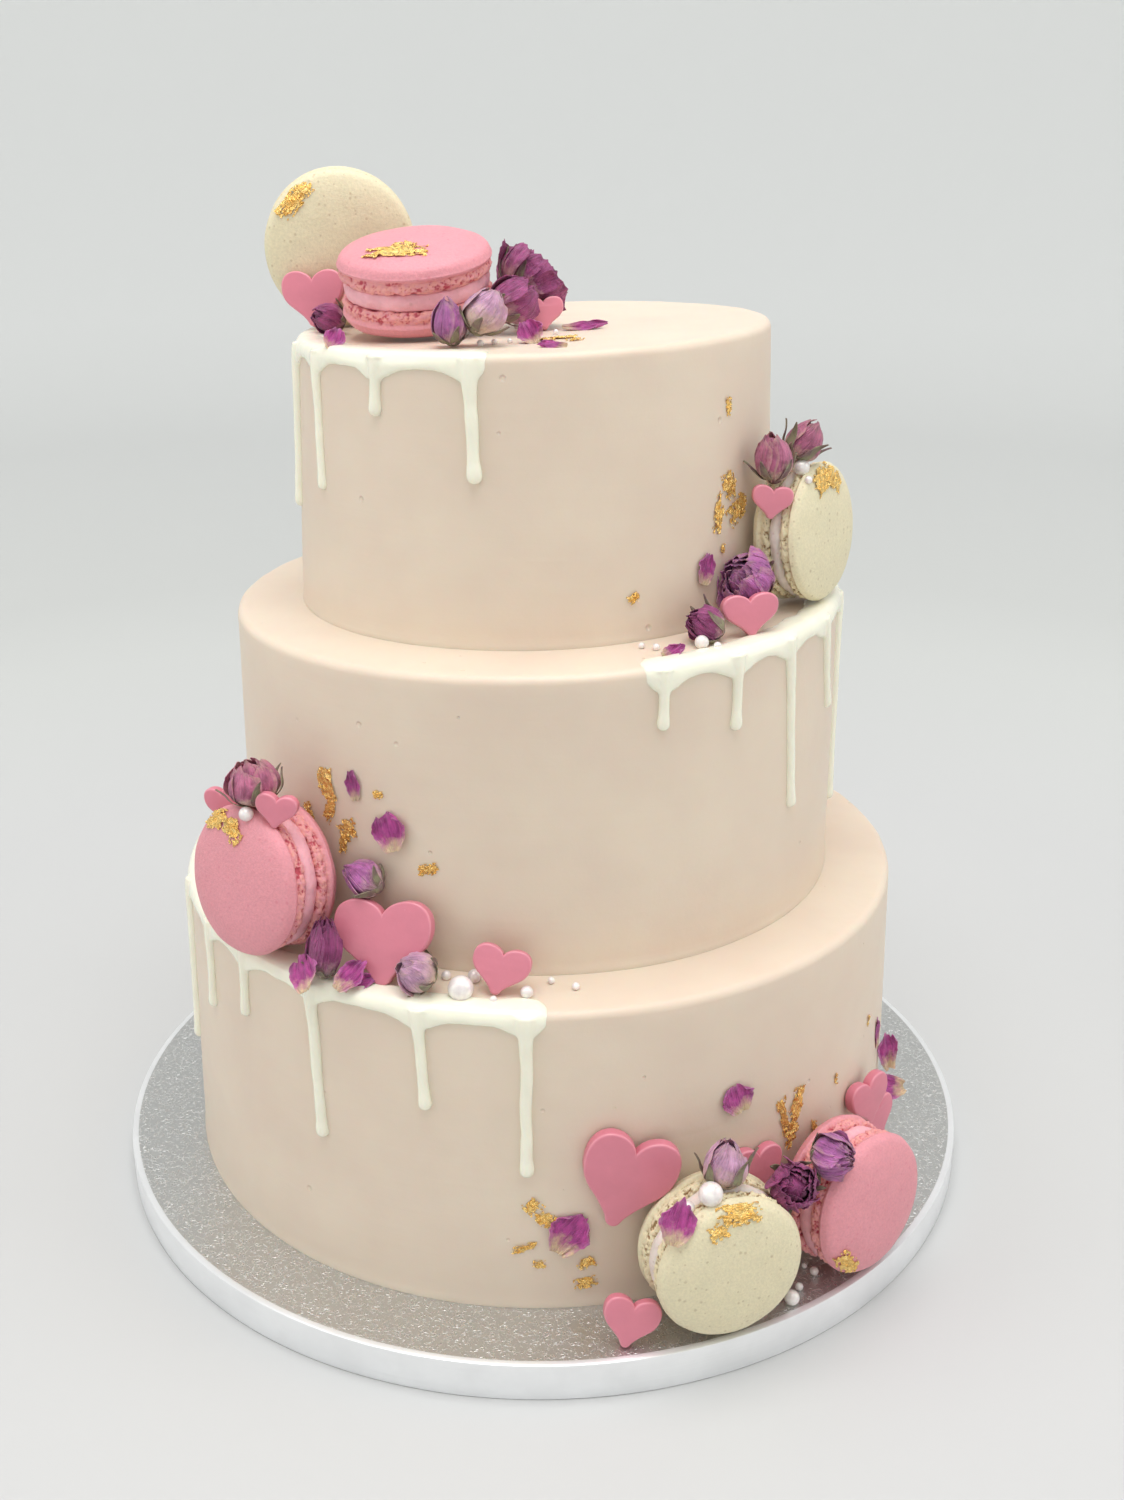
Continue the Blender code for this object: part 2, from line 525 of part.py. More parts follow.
def join_toppings(piece):
    """Union a piece with everything in the toppings collection, then remove the toppings."""
    toppings = collection("toppings")
    if not toppings.objects:
        return
    join = piece.modifiers.new("toppings", "BOOLEAN")
    join.operation = "UNION"
    join.operand_type = "COLLECTION"
    join.collection = toppings
    join.solver = "EXACT"
    bpy.context.view_layer.update()
    graph = bpy.context.evaluated_depsgraph_get()
    mesh = bpy.data.meshes.new_from_object(piece.evaluated_get(graph))
    piece.modifiers.remove(join)
    surface = piece.data.materials[0]
    piece.data = mesh
    mesh.materials.clear()
    mesh.materials.append(surface)
    mesh.set_sharp_from_angle(angle=SHARP_ANGLE)
    for topping in list(toppings.objects):
        bpy.data.objects.remove(topping, do_unlink=True)


def flat_toppings(name):
    """Pearls, and on a tier gold leaf and petals, that lie on its top."""
    for x, y, radius in LEDGE_PEARLS.get(name, []):
        height = top_height(name, x * MM) + 0.75 * radius * MM
        pearl(Vector((x * MM, y * MM, height)), radius * MM, 2 if radius > 3.0 else 1)
    for x, y, width, length, turn, curl in TOP_PETALS.get(name, []):
        place = Vector((x * MM, y * MM, top_height(name, x * MM) + 0.2 * curl * MM))
        small_petal(frame_of(place, -90.0, 89.0, turn), width, length, curl)


def wall_toppings(name):
    """Gold leaf and small petals pressed on a tier's wall."""
    for index, (angle, height, width, length, turn) in enumerate(WALL_GOLD.get(name, [])):
        place = on_wall(name, angle, height * MM, 0.1 * MM)
        gold_flake(frame_of(place, angle, 0.0, turn), width, length, f"{name}{index}")
    for angle, height, width, length, turn, curl in WALL_PETALS.get(name, []):
        place = on_wall(name, angle, height * MM, 0.15 * curl * MM)
        small_petal(frame_of(place, angle, 0.0, turn), width, length, curl)


def dressed_tier(name):
    """A tier with its white chocolate, pearls, gold leaf and small petals joined on."""
    piece = tier_piece(name)
    icing_band(name)
    for number, run in enumerate(DRIPS[name]["runs"]):
        drip(name, number, *run)
    flat_toppings(name)
    wall_toppings(name)
    if name == "tier_3":
        for index, (x, y, width, length, turn) in enumerate(TOP_GOLD):
            place = Vector((x * MM, y * MM, top_height(name, x * MM) + 0.1 * MM))
            gold_flake(frame_of(place, -90.0, 89.0, turn), width, length, f"top{index}")
    join_toppings(piece)
    return piece


def shell_mesh(radius, thick, seed):
    """One macaron shell: a smooth dome over a ragged foot, facing +Z, flat underneath."""
    inner = FILLING_HALF * thick + GAP / 2.0
    outline = [(share * radius, max(height * thick, inner)) for share, height in SHELL_OUTLINE]
    mesh = turned(outline + [(0.0, inner)], MACARON_STEPS)
    draw = random.Random(seed)
    foot_top = SHELL_FOOT * thick
    for vertex in mesh.vertices:
        reach = math.hypot(vertex.co.x, vertex.co.y)
        if vertex.co.z < foot_top and reach > 0.5 * radius:
            ragged = 1.0 + draw.uniform(-0.022, 0.016)
            vertex.co.x *= ragged
            vertex.co.y *= ragged
    return mesh


def shell_toppings(name, mesh, matrix):
    """Gold leaf and pearls on a macaron's outer shell, which still faces +Z."""
    tree = tree_of(mesh)
    for index, (right, up, width, length, turn) in enumerate(SHELL_GOLD.get(name, [])):
        start = Vector((right * MM, up * MM, 0.1))
        place, normal, _, _ = tree.ray_cast(start, Vector((0.0, 0.0, -1.0)))
        lean = normal.to_track_quat("Z", "Y").to_matrix().to_4x4()
        spot = Matrix.Translation(place) @ lean @ Matrix.Rotation(math.radians(turn), 4, "Z")
        gold_flake(matrix @ spot, width, length, f"{name}{index}")
    mesh.transform(matrix)
    tree = tree_of(mesh)
    for x, y, radius in SHELL_PEARLS.get(name, []):
        start = Vector((x * MM, y * MM, 1.0))
        place = tree.ray_cast(start, Vector((0.0, 0.0, -1.0)))[0]
        if place is not None:
            pearl(place + Vector((0.0, 0.0, 0.7 * radius * MM)), radius * MM, 2 if radius > 3.0 else 1)


def macaron(name, plan):
    """Two shells with the filling between, each its own piece."""
    radius = plan["radius"] * MM
    thick = radius * plan["thick"]
    matrix = frame_of(millimetres(plan["at"]), plan["heading"], plan["rise"])
    shell, cream = (PINK, PALE_PINK) if plan["colour"] == "pink" else (BEIGE, LILAC_CREAM)
    shell_surface = material(plan["colour"] + " macaron", shell, 0.7)
    cream_surface = material(plan["colour"] + " filling", cream, 0.5)
    outer = shell_mesh(radius, thick, name + "outer")
    shell_toppings(name, outer, matrix)
    outer_piece = finish_piece(name + "_outer", outer, shell_surface)
    join_toppings(outer_piece)
    half, rim = FILLING_HALF * thick - GAP / 2.0, FILLING_RADIUS * radius
    side = rim * 0.97
    filling = turned([(0.0, half), (side, half), (rim, 0.0), (side, -half), (0.0, -half)],
                     MACARON_STEPS)
    filling.transform(matrix)
    filling_piece = finish_piece(name + "_filling", filling, cream_surface)
    inner = shell_mesh(radius, thick, name + "inner")
    inner.transform(matrix @ Matrix.Rotation(math.pi, 4, "X"))
    inner_piece = finish_piece(name + "_inner", inner, shell_surface)
    return [outer_piece, filling_piece, inner_piece]


def heart_mesh(width, thick, tall):
    """A chocolate heart: two round lobes that draw in to a point, as a flat slab."""
    curve = bpy.data.curves.new("heart", "CURVE")
    curve.dimensions = "2D"
    curve.fill_mode = "BOTH"
    curve.extrude = thick / 2.0
    line = curve.splines.new("POLY")
    line.points.add(HEART_POINTS - 1)
    line.use_cyclic_u = True
    for index, point in enumerate(line.points):
        turn = 2.0 * math.pi * index / HEART_POINTS
        across = 16.0 * math.sin(turn) ** 3
        upward = (13.0 * math.cos(turn) - 5.0 * math.cos(2.0 * turn)
                  - 2.0 * math.cos(3.0 * turn) - math.cos(4.0 * turn))
        point.co = (across / 32.0 * width, (upward + 2.5) / 32.0 * tall * width, 0.0, 1.0)
    obj = bpy.data.objects.new("heart", curve)
    bpy.context.scene.collection.objects.link(obj)
    return baked(obj)


def heart(name, plan):
    """One chocolate heart at its place."""
    thick = HEART_THICK * (0.75 + 0.25 * plan["size"] / 30.0)
    mesh = heart_mesh(plan["size"] * MM, thick, plan.get("tall", HEART_HEIGHT))
    mesh.transform(frame_of(millimetres(plan["at"]), plan["heading"], plan["rise"], plan["turn"]))
    return finish_piece(name, mesh, material("pink chocolate", HEART_PINK, 0.4))


def bud_mesh(length, width, opening, seed):
    """A dried rosebud along +Z: an egg of wrapped petals, its tip closed or standing open."""
    draw = random.Random(seed)
    shape = bmesh.new()
    bmesh.ops.create_uvsphere(shape, u_segments=8, v_segments=6, radius=0.5)
    twist = draw.uniform(0.0, math.tau)
    for vertex in shape.verts:
        along = vertex.co.z + 0.5
        angle = math.atan2(vertex.co.y, vertex.co.x)
        narrow = 1.0 - (0.42 - 0.5 * opening) * max(0.0, along - 0.45) / 0.55
        wrap = 1.0 + (0.05 + 0.07 * opening) * math.cos(3.0 * angle + 5.0 * along + twist)
        vertex.co.x *= width * narrow * wrap * 1.06
        vertex.co.y *= width * narrow * wrap * 1.06
        vertex.co.z = (along - 0.5) * length * (1.0 - 0.22 * opening * (1.0 if along > 0.95 else 0.0))
    mesh = bpy.data.meshes.new("bud")
    shape.to_mesh(mesh)
    shape.free()
    return mesh


def sepal(length, width, bud_length, angle, reach):
    """One narrow sepal that rises from the foot of the bud and stands off at its tip."""
    shape = bmesh.new()
    bmesh.ops.create_cone(shape, cap_ends=True, segments=4, radius1=0.11 * width,
                          radius2=0.02 * width, depth=reach)
    mesh = bpy.data.meshes.new("sepal")
    shape.to_mesh(mesh)
    shape.free()
    lean = Matrix.Rotation(math.radians(20.0), 4, "Y")
    lift = Matrix.Translation((width * 0.30, 0.0, -0.5 * bud_length + 0.5 * reach * 0.94))
    mesh.transform(Matrix.Rotation(angle, 4, "Z") @ lift @ lean)
    return finish_piece("sepal", mesh, icing_surface(), "toppings")


def bud(name, plan):
    """One rosebud with its sepals and the stub of its calyx joined on."""
    length, width = plan["size"][0] * MM, plan["size"][1] * MM
    colours = {"violet": ROSE_VIOLET, "dark": ROSE_DARK, "pale": ROSE_PALE}
    surface = material("dried rose " + plan["colour"], colours[plan["colour"]], 0.7)
    piece = finish_piece(name, bud_mesh(length, width, plan["open"], name), surface)
    draw = random.Random(name + "sepals")
    count = 3 if plan["sepals"] > 6.0 else 2
    for index in range(count):
        angle = math.tau * index / count + draw.uniform(-0.5, 0.5)
        sepal(length, width, length, angle, plan["sepals"] * MM)
    join_toppings(piece)
    spin = draw.uniform(0.0, 90.0)
    piece.data.transform(frame_of(millimetres(plan["at"]), plan["heading"], plan["rise"], spin))
    return piece


def petal(name, plan):
    """One large dried petal at its place."""
    width, length = plan["size"]
    mesh = petal_mesh(width, length, plan["curl"], 3, PETAL_THICK)
    mesh.transform(frame_of(millimetres(plan["at"]), plan["heading"], plan["rise"], plan["turn"]))
    return finish_piece(name, mesh, material("dried petal", PETAL_MAGENTA, 0.6))


def tree_of(mesh, swell=0.0, shift=Vector()):
    """A search tree of a mesh, swollen along its normals and shifted."""
    points = [vertex.co + vertex.normal * swell + shift for vertex in mesh.vertices]
    return BVHTree.FromPolygons(points, [tuple(face.vertices) for face in mesh.polygons])


def touches(piece, trees, offset):
    """Whether a piece, moved by an offset, comes within the gap of its neighbours."""
    moving = tree_of(piece.data, GAP, offset)
    return any(moving.overlap(tree) for tree in trees)


def towards(heading):
    """The level direction at a compass angle."""
    return Vector((math.cos(math.radians(heading)), math.sin(math.radians(heading)), 0.0))


def settle(piece, plan, trees):
    """Draw a piece clear of its neighbours, then press it on until it all but touches one."""
    step = 0.25 * MM
    centre = millimetres(plan["at"])
    inward = Vector((-centre.x, -centre.y, 0.0)).normalized()
    ways = {"down": Vector((0.0, 0.0, -1.0)), "in": inward, "back": Vector((0.0, 1.0, 0.0))}
    onward = ways[plan["push"]] if plan["push"] in ways else towards(plan["push"])
    clear = towards(plan["away"]) if "away" in plan else -onward
    offset = Vector((0.0, 0.0, SETTLE_LIFT if plan["push"] == "down" else 0.0))
    while touches(piece, trees, offset) and offset.length < SETTLE_REACH:
        offset += clear * step
    press = onward * step
    for _ in range(round(SETTLE_REACH / step)):
        if touches(piece, trees, offset + press):
            break
        offset += press
    piece.data.transform(Matrix.Translation(offset))
    trees.append(tree_of(piece.data))


def build():
    """Build the whole cake from the board upwards."""
    clear_scene()
    trees = [tree_of(board_piece().data)]
    board = bpy.data.objects["board"]
    flat_toppings("board")
    join_toppings(board)
    trees[0] = tree_of(board.data)
    for name in TIERS:
        trees.append(tree_of(dressed_tier(name).data))
    for name, plan in MACARONS.items():
        trees.extend(tree_of(piece.data) for piece in macaron(name, plan))
    for name, plan in HEARTS.items():
        settle(heart(name, plan), plan, trees)
    for name, plan in BUDS.items():
        settle(bud(name, plan), plan, trees)
    for name, plan in PETALS.items():
        settle(petal(name, plan), plan, trees)
    bpy.data.collections.remove(collection("toppings"))


build()
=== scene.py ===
"""Three-tier buttercream wedding cake on its round silver board, dressed and set on a stage.

Metres, +Z up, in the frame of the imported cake. Every piece is modelled at its place and stands
for the solid that it is named after: the buttercream tiers, the white chocolate that runs down
them, the macarons, chocolate hearts, dried rosebuds and petals, sugar pearls and gold leaf.
"""
import math
import random

import bpy
from bpy.props import FloatProperty, FloatVectorProperty, PointerProperty
from mathutils import Matrix, Vector, noise
from mathutils.bvhtree import BVHTree


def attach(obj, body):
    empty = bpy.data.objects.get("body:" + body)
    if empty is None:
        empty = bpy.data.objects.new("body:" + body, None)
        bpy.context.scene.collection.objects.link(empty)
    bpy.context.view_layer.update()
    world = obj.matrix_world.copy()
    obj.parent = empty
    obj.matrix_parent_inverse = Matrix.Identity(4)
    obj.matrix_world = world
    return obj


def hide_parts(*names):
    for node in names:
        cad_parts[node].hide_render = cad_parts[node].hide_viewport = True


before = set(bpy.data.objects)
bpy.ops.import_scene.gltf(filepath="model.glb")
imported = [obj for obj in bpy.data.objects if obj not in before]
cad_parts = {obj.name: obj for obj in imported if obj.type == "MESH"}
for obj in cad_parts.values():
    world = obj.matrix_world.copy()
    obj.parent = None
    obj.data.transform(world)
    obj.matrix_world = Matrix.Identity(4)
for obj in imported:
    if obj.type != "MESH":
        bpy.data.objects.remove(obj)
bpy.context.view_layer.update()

bl_info = {
    "name": "Tiered wedding cake",
    "version": (1, 0, 0),
    "blender": (4, 5, 0),
    "location": "View3D > Sidebar > Cake",
    "description": "Models a three-tier wedding cake with its trimmings, board and stage",
    "category": "Add Mesh",
}

MM = 0.001

# ---------------------------------------------------------------------------------------------
# Sizes, in millimetres and degrees, as in the part's source
# ---------------------------------------------------------------------------------------------

BOARD_RADIUS = 152.5
BOARD_HEIGHT = 12.7

# Each tier: centre, radius at the foot and at the rim, heights, and how far each face tilts.
TIERS = {
    "tier_1": dict(centre=(-1.0, -3.0), foot=124.9, rim=122.0, base=12.7, top=113.9,
                   foot_tilt=0.0, top_tilt=0.0),
    "tier_2": dict(centre=(-1.4, -1.8), foot=100.6, rim=99.3, base=113.9, top=206.7,
                   foot_tilt=0.0, top_tilt=0.024),
    "tier_3": dict(centre=(-2.0, 1.9), foot=77.8, rim=74.7, base=206.7, top=290.8,
                   foot_tilt=0.024, top_tilt=0.038),
}
RIM_ROUND = 2.6
TIER_SOLE = 1.4
ROUND_STEPS = 320

# White chocolate: the stretch of rim that it covers, then each drip's angle at the rim and at
# its tip, its length and its width. The grain is the cell size that the runs are fused with.
CHOCOLATE_GRAIN = 0.55
POOL_WIDTH = 8.5
LAP_DEPTH = 5.5
DRIPS = {
    "tier_3": dict(start=-192.0, end=-99.0, runs=[
        (-168.0, -168.0, 52.0, 4.0), (-150.0, -147.0, 42.0, 3.6), (-127.0, -127.0, 17.6, 3.9),
        (-104.0, -102.8, 35.5, 4.5)]),
    "tier_2": dict(start=-73.0, end=11.0, runs=[
        (-69.0, -69.0, 19.0, 3.7), (-54.5, -54.5, 24.0, 3.9), (-41.0, -38.6, 57.0, 3.8),
        (-26.7, -22.5, 33.0, 3.7), (-9.5, -8.5, 75.0, 3.9)]),
    "tier_1": dict(start=-187.0, end=-88.5, runs=[
        (-166.0, -165.5, 62.0, 4.0), (-150.0, -150.0, 32.0, 3.8), (-138.5, -138.5, 24.0, 3.8),
        (-124.0, -122.7, 53.0, 4.2), (-107.0, -106.0, 34.0, 4.0), (-92.0, -92.0, 54.0, 4.4)]),
}

# Macarons: colour, centre, heading and rise of the outer face, radius, thickness for the
# radius, and how ragged the foot is.
MACARONS = {
    "macaron_top_beige": ("beige", (-64.9, 22.0, 313.4), -83.0, -2.0, 24.4, 0.92, 1.0),
    "macaron_top_pink": ("pink", (-37.6, -16.4, 305.6), -105.0, 77.0, 23.8, 1.0, 1.0),
    "macaron_right_beige": ("beige", (82.2, -30.9, 231.4), -35.2, 4.9, 21.9, 0.80, 1.1),
    "macaron_left_pink": ("pink", (-84.4, -83.9, 138.3), -131.0, 8.8, 23.3, 0.98, 1.1),
    "macaron_board_beige": ("beige", (51.9, -131.9, 36.9), -71.9, 2.2, 23.4, 1.04, 1.2),
    "macaron_board_pink": ("pink", (95.9, -104.9, 36.8), -50.0, 4.6, 23.1, 1.02, 1.5),
}

# Section of a shell: distance from the middle for the radius, then height for the thickness.
# Then the heights of the foot and of half the filling, and the radius of the filling.
DOME = [(0.0, 0.565), (0.30, 0.558), (0.50, 0.543), (0.70, 0.512), (0.86, 0.462), (0.955, 0.405),
        (1.0, 0.315)]
FOOT_HIGH = 0.250
FILLING_HALF = 0.11
FILLING_RADIUS = 0.93

# Pearls on an outer shell: x, y and radius. Gold leaf there: right and up from the middle of
# the face, width, length and turn.
SHELL_PEARLS = {
    "macaron_board_beige": [(47.9, -138.0, 3.65), (41.4, -138.2, 2.0)],
    "macaron_right_beige": [(79.0, -39.0, 2.5), (80.6, -43.2, 1.2)],
    "macaron_left_pink": [(-87.0, -90.5, 2.2)],
}
SHELL_GOLD = {
    "macaron_top_beige": [(-14.5, 14.0, 5.0, 10.0, -38.0), (-10.5, 18.0, 4.0, 5.0, -50.0)],
    "macaron_top_pink": [(-1.5, -12.5, 17.0, 6.4, 10.0), (0.0, -7.5, 6.4, 4.0, 0.0)],
    "macaron_right_beige": [(-3.0, 17.0, 11.0, 7.0, 20.0), (4.0, 16.0, 8.0, 6.0, -30.0)],
    "macaron_left_pink": [(-11.0, 17.0, 9.0, 5.6, 12.0), (-2.0, 16.0, 8.0, 6.0, -35.0)],
    "macaron_board_beige": [(1.0, 20.0, 13.0, 6.0, -6.0), (-6.0, 16.0, 5.0, 4.4, 20.0)],
    "macaron_board_pink": [(-15.0, -12.0, 6.0, 9.0, 25.0), (-12.0, -16.0, 4.0, 4.0, 0.0)],
}

# Hearts: centre, heading, rise and turn of the face, width, and height for the width.
HEARTS = {
    "heart_top_left": (-72.1, 4.5, 299.0, -97.0, 12.0, 4.0, 20.0, 0.94),
    "heart_top_right": (0.8, -17.0, 296.3, -84.0, 16.0, 3.0, 12.4, 0.86),
    "heart_right_large": (61.4, -66.5, 215.0, -78.0, 10.0, 3.0, 17.4, 0.77),
    "heart_right_small": (69.0, -48.5, 244.6, -88.0, 8.0, -6.0, 12.4, 0.86),
    "heart_left_crown": (-77.4, -93.5, 164.2, -98.0, 6.0, -8.0, 12.6, 0.87),
    "heart_left_behind": (-97.28, -69.88, 156.25, -112.0, 4.0, 12.0, 13.0, 0.94),
    "heart_left_large": (-47.0, -103.0, 126.5, -109.0, 19.0, 5.0, 31.0, 0.88),
    "heart_left_low": (-12.6, -111.5, 121.2, -96.0, 20.0, -12.0, 17.4, 0.88),
    "heart_board_large": (24.14, -127.54, 60.0, -86.0, 3.0, -17.0, 29.0, 1.13),
    "heart_board_low": (25.01, -142.45, 20.5, -84.0, 14.0, -16.0, 17.5, 0.94),
    "heart_board_middle": (64.81, -110.95, 51.0, -60.0, 6.0, -6.0, 18.0, 0.94),
    "heart_board_right": (106.64, -72.73, 50.0, -48.0, 5.0, 4.0, 19.0, 0.94),
    "heart_board_far": (112.72, -63.45, 37.5, -48.0, 8.0, 8.0, 15.0, 0.94),
}
HEART_THICK = 4.0
HEART_EDGE = 0.75

# Rosebuds: centre, heading and rise of the tip, length, width, how far open from 0 to 1, reach
# of the sepals, and colour.
ROSEBUDS = {
    "bud_top_dark": (-67.0, -4.5, 293.55, -150.0, 12.0, 11.0, 8.6, 0.2, 4.0, "dark"),
    "bud_top_violet": (-26.2, -50.5, 297.75, -160.0, 80.0, 13.5, 9.6, 0.0, 5.0, "violet"),
    "bud_top_lilac": (-15.66, -50.84, 300.4, 15.0, 62.0, 13.6, 11.4, 0.15, 5.0, "pale"),
    "bud_top_magenta": (-7.5, -24.5, 301.0, 20.0, 42.0, 14.5, 12.5, 0.4, 4.0, "dark"),
    "bud_top_rose": (-3.4, -7.0, 305.5, 35.0, 40.0, 16.0, 16.5, 0.8, 10.0, "dark"),
    "bud_right_inner": (69.2, -43.5, 257.25, 165.0, 82.0, 15.0, 10.4, 0.1, 7.0, "rose"),
    "bud_right_outer": (80.0, -36.0, 261.0, 5.0, 58.0, 14.0, 10.0, 0.1, 11.0, "rose"),
    "bud_right_low": (47.4, -72.0, 213.05, -165.0, 24.0, 12.0, 8.8, 0.4, 9.6, "dark"),
    "bud_right_open": (61.05, -54.84, 222.1, -150.0, 30.0, 14.0, 15.6, 0.5, 4.0, "violet"),
    "bud_left_crown": (-85.6, -84.0, 169.5, 170.0, 74.0, 14.5, 14.6, 0.25, 10.0, "rose"),
    "bud_left_dark": (-64.38, -103.25, 124.75, 60.0, 84.0, 18.5, 9.0, 0.3, 4.0, "dark"),
    "bud_left_violet": (-53.77, -93.15, 142.0, 155.0, 20.0, 13.0, 10.0, 0.0, 4.0, "violet"),
    "bud_left_pale": (-37.3, -112.75, 121.4, -168.0, 28.0, 12.0, 11.4, 0.15, 5.0, "pale"),
    "bud_board_crown": (52.8, -129.5, 66.75, 60.0, 80.0, 15.0, 12.0, 0.15, 13.0, "pale"),
    "bud_board_end": (74.2, -126.0, 55.25, -84.0, 30.0, 13.0, 12.6, 0.55, 7.0, "dark"),
    "bud_board_violet": (87.0, -119.5, 61.25, -35.0, 14.0, 13.5, 12.2, 0.35, 4.0, "violet"),
}

# Section of a bud: height for the length, then radius for half the width.
BUD_OUTLINE = [(0.0, 0.34), (0.10, 0.66), (0.22, 0.92), (0.34, 1.0), (0.50, 0.95), (0.66, 0.78),
               (0.82, 0.50), (0.93, 0.25), (1.0, 0.06)]

# Large petals: centre, heading, rise and turn of the face, width, length and curl.
PETALS = {
    "petal_left_wall": (-45.43, -93.03, 156.6, -112.0, 8.0, 20.0, 11.5, 12.0, 2.2),
    "petal_left_dark": (-70.23, -108.08, 118.5, -140.0, 40.0, 50.0, 10.5, 13.0, 3.0),
    "petal_left_rim": (-56.5, -109.5, 118.25, -108.0, 50.0, -30.0, 8.0, 11.5, 2.0),
    "petal_board_wall": (58.22, -111.89, 76.8, -64.0, 4.0, 15.0, 11.0, 10.4, 1.4),
    "petal_board_left": (7.31, -128.0, 40.0, -88.0, 6.0, -35.0, 13.0, 14.5, 2.4),
    "petal_board_cream": (37.8, -145.25, 57.4, -80.0, 14.0, -18.0, 11.0, 13.5, 1.4),
    "petal_board_far": (120.76, -46.07, 36.6, -55.0, 32.0, 75.0, 9.0, 13.0, 2.0),
    "petal_board_upper": (119.82, -42.09, 49.0, -66.0, 2.0, 8.0, 8.5, 15.0, 2.4),
    "petal_right_wall": (49.11, -57.03, 226.0, -50.0, 6.0, -20.0, 6.8, 9.6, 1.6),
}

# Pearls that lie on a tier's top or the board: x, y and radius.
LEDGE_PEARLS = {
    "tier_3": [(-7.0, -9.0, 1.6), (-13.5, -47.0, 0.9), (-17.5, -50.0, 1.0), (-9.0, -46.0, 0.8),
               (4.5, -29.0, 0.9)],
    "tier_2": [(46.3, -77.5, 2.1), (50.8, -79.0, 1.2), (28.9, -76.5, 1.0), (33.0, -78.5, 1.1)],
    "tier_1": [(-24.1, -115.0, 3.8), (-20.5, -105.6, 2.1), (-5.0, -114.8, 1.9),
               (-14.6, -118.0, 1.2), (2.1, -107.0, 1.1), (9.3, -110.6, 1.2), (-28.9, -104.2, 1.5)],
    "board": [(75.6, -126.6, 2.4), (78.8, -120.6, 1.3), (84.6, -113.6, 1.4), (82.0, -110.6, 0.9)],
}

# Gold leaf on a wall: angle, height, width, length and turn of each flake. On the top of the
# upper tier: x, y, width, length and turn.
WALL_GOLD = {
    "tier_3": [(-40.5, 249.0, 5.4, 8.4, 20.0), (-44.3, 242.0, 3.8, 11.0, -12.0),
               (-38.0, 240.5, 7.0, 7.0, 35.0), (-35.6, 243.0, 5.0, 4.6, 70.0),
               (-41.0, 272.7, 2.2, 5.0, 8.0), (-42.9, 230.6, 2.0, 2.8, 0.0),
               (-68.3, 220.8, 3.4, 2.6, 30.0)],
    "tier_2": [(-129.2, 166.2, 6.0, 9.0, 10.0), (-128.6, 158.7, 3.6, 9.0, -15.0),
               (-124.6, 153.5, 7.0, 6.0, 30.0), (-125.6, 149.3, 3.4, 7.0, -10.0),
               (-118.0, 167.2, 3.0, 2.4, 0.0), (-108.9, 146.0, 6.0, 3.4, 20.0),
               (-134.0, 155.4, 3.0, 5.0, 25.0)],
    "tier_1": [(-52.4, 62.0, 3.6, 14.0, 14.0), (-49.9, 63.5, 5.0, 13.0, -12.0),
               (-50.8, 54.0, 3.4, 8.0, -30.0), (-45.6, 52.4, 2.6, 5.0, 0.0),
               (-28.0, 72.7, 1.8, 3.4, 0.0), (-40.0, 64.0, 1.6, 3.6, 0.0),
               (-91.2, 49.5, 5.0, 4.4, 40.0), (-89.6, 45.0, 5.6, 4.6, -20.0),
               (-92.4, 34.6, 7.4, 2.6, 18.0), (-90.4, 28.8, 3.4, 2.6, 0.0),
               (-83.9, 28.7, 5.0, 3.4, 20.0), (-83.9, 21.5, 6.4, 3.6, 10.0)],
}
TOP_GOLD = [(6.5, -39.0, 8.0, 3.6, 12.0), (1.5, -43.5, 5.0, 3.4, -30.0),
            (9.8, -45.0, 5.0, 2.4, 40.0)]

# Small petals on a tier's top: x, y, width, length, turn, curl and the rise of their face. Those
# on a wall start with their angle and height.
TOP_PETALS = {
    "tier_3": [(-3.2, -47.0, 8.0, 8.0, 25.0, 2.6, 36.0), (13.5, -18.0, 5.0, 14.0, -78.0, 1.6, 70.0),
               (3.4, -58.7, 4.0, 8.0, 80.0, 1.2, 65.0), (-60.6, -39.5, 6.4, 7.6, -20.0, 1.6, 38.0)],
    "tier_2": [(37.5, -84.5, 4.4, 7.5, -60.0, 1.8, 55.0)],
    "tier_1": [(-54.6, -109.0, 5.0, 12.0, -74.0, 2.0, 60.0)],
}
WALL_PETALS = {
    "tier_2": [(-123.0, 168.4, 5.6, 9.4, 10.0, 1.0)],
    "tier_1": [(-21.6, 60.0, 5.0, 12.0, 10.0, 1.0)],
}

# Camera: place in metres, turn to the right and lean down in radians, lens in millimetres.
CAMERA_PLACE = (0.0, -0.5113, 0.3452)
CAMERA_TURN = 0.0131
CAMERA_LEAN = 0.3716
CAMERA_LENS = 37.5

# ---------------------------------------------------------------------------------------------
# Colours and amounts that a user may change
# ---------------------------------------------------------------------------------------------


def screen(red, green, blue):
    """A colour in screen values from 0 to 255, as the linear values that Blender works in."""
    def linear(value):
        value /= 255.0
        return value / 12.92 if value <= 0.04045 else ((value + 0.055) / 1.055) ** 2.4
    return (linear(red), linear(green), linear(blue))


def colour(name, description, red, green, blue):
    """A colour property with its default in screen values."""
    return FloatVectorProperty(name=name, description=description, subtype="COLOR", size=3,
                               min=0.0, max=1.0, default=screen(red, green, blue))


class BoardSettings(bpy.types.PropertyGroup):
    """Finish of the silver board."""
    foil: colour("Foil", "Colour of the embossed foil on top", 214, 214, 212)
    edge: colour("Edge", "Colour of the smooth band round the edge", 246, 247, 248)
    emboss: FloatProperty(name="Emboss", description="Depth of the pattern pressed in the foil",
                          default=0.00008, min=0.0, max=0.002, precision=5, unit="LENGTH")


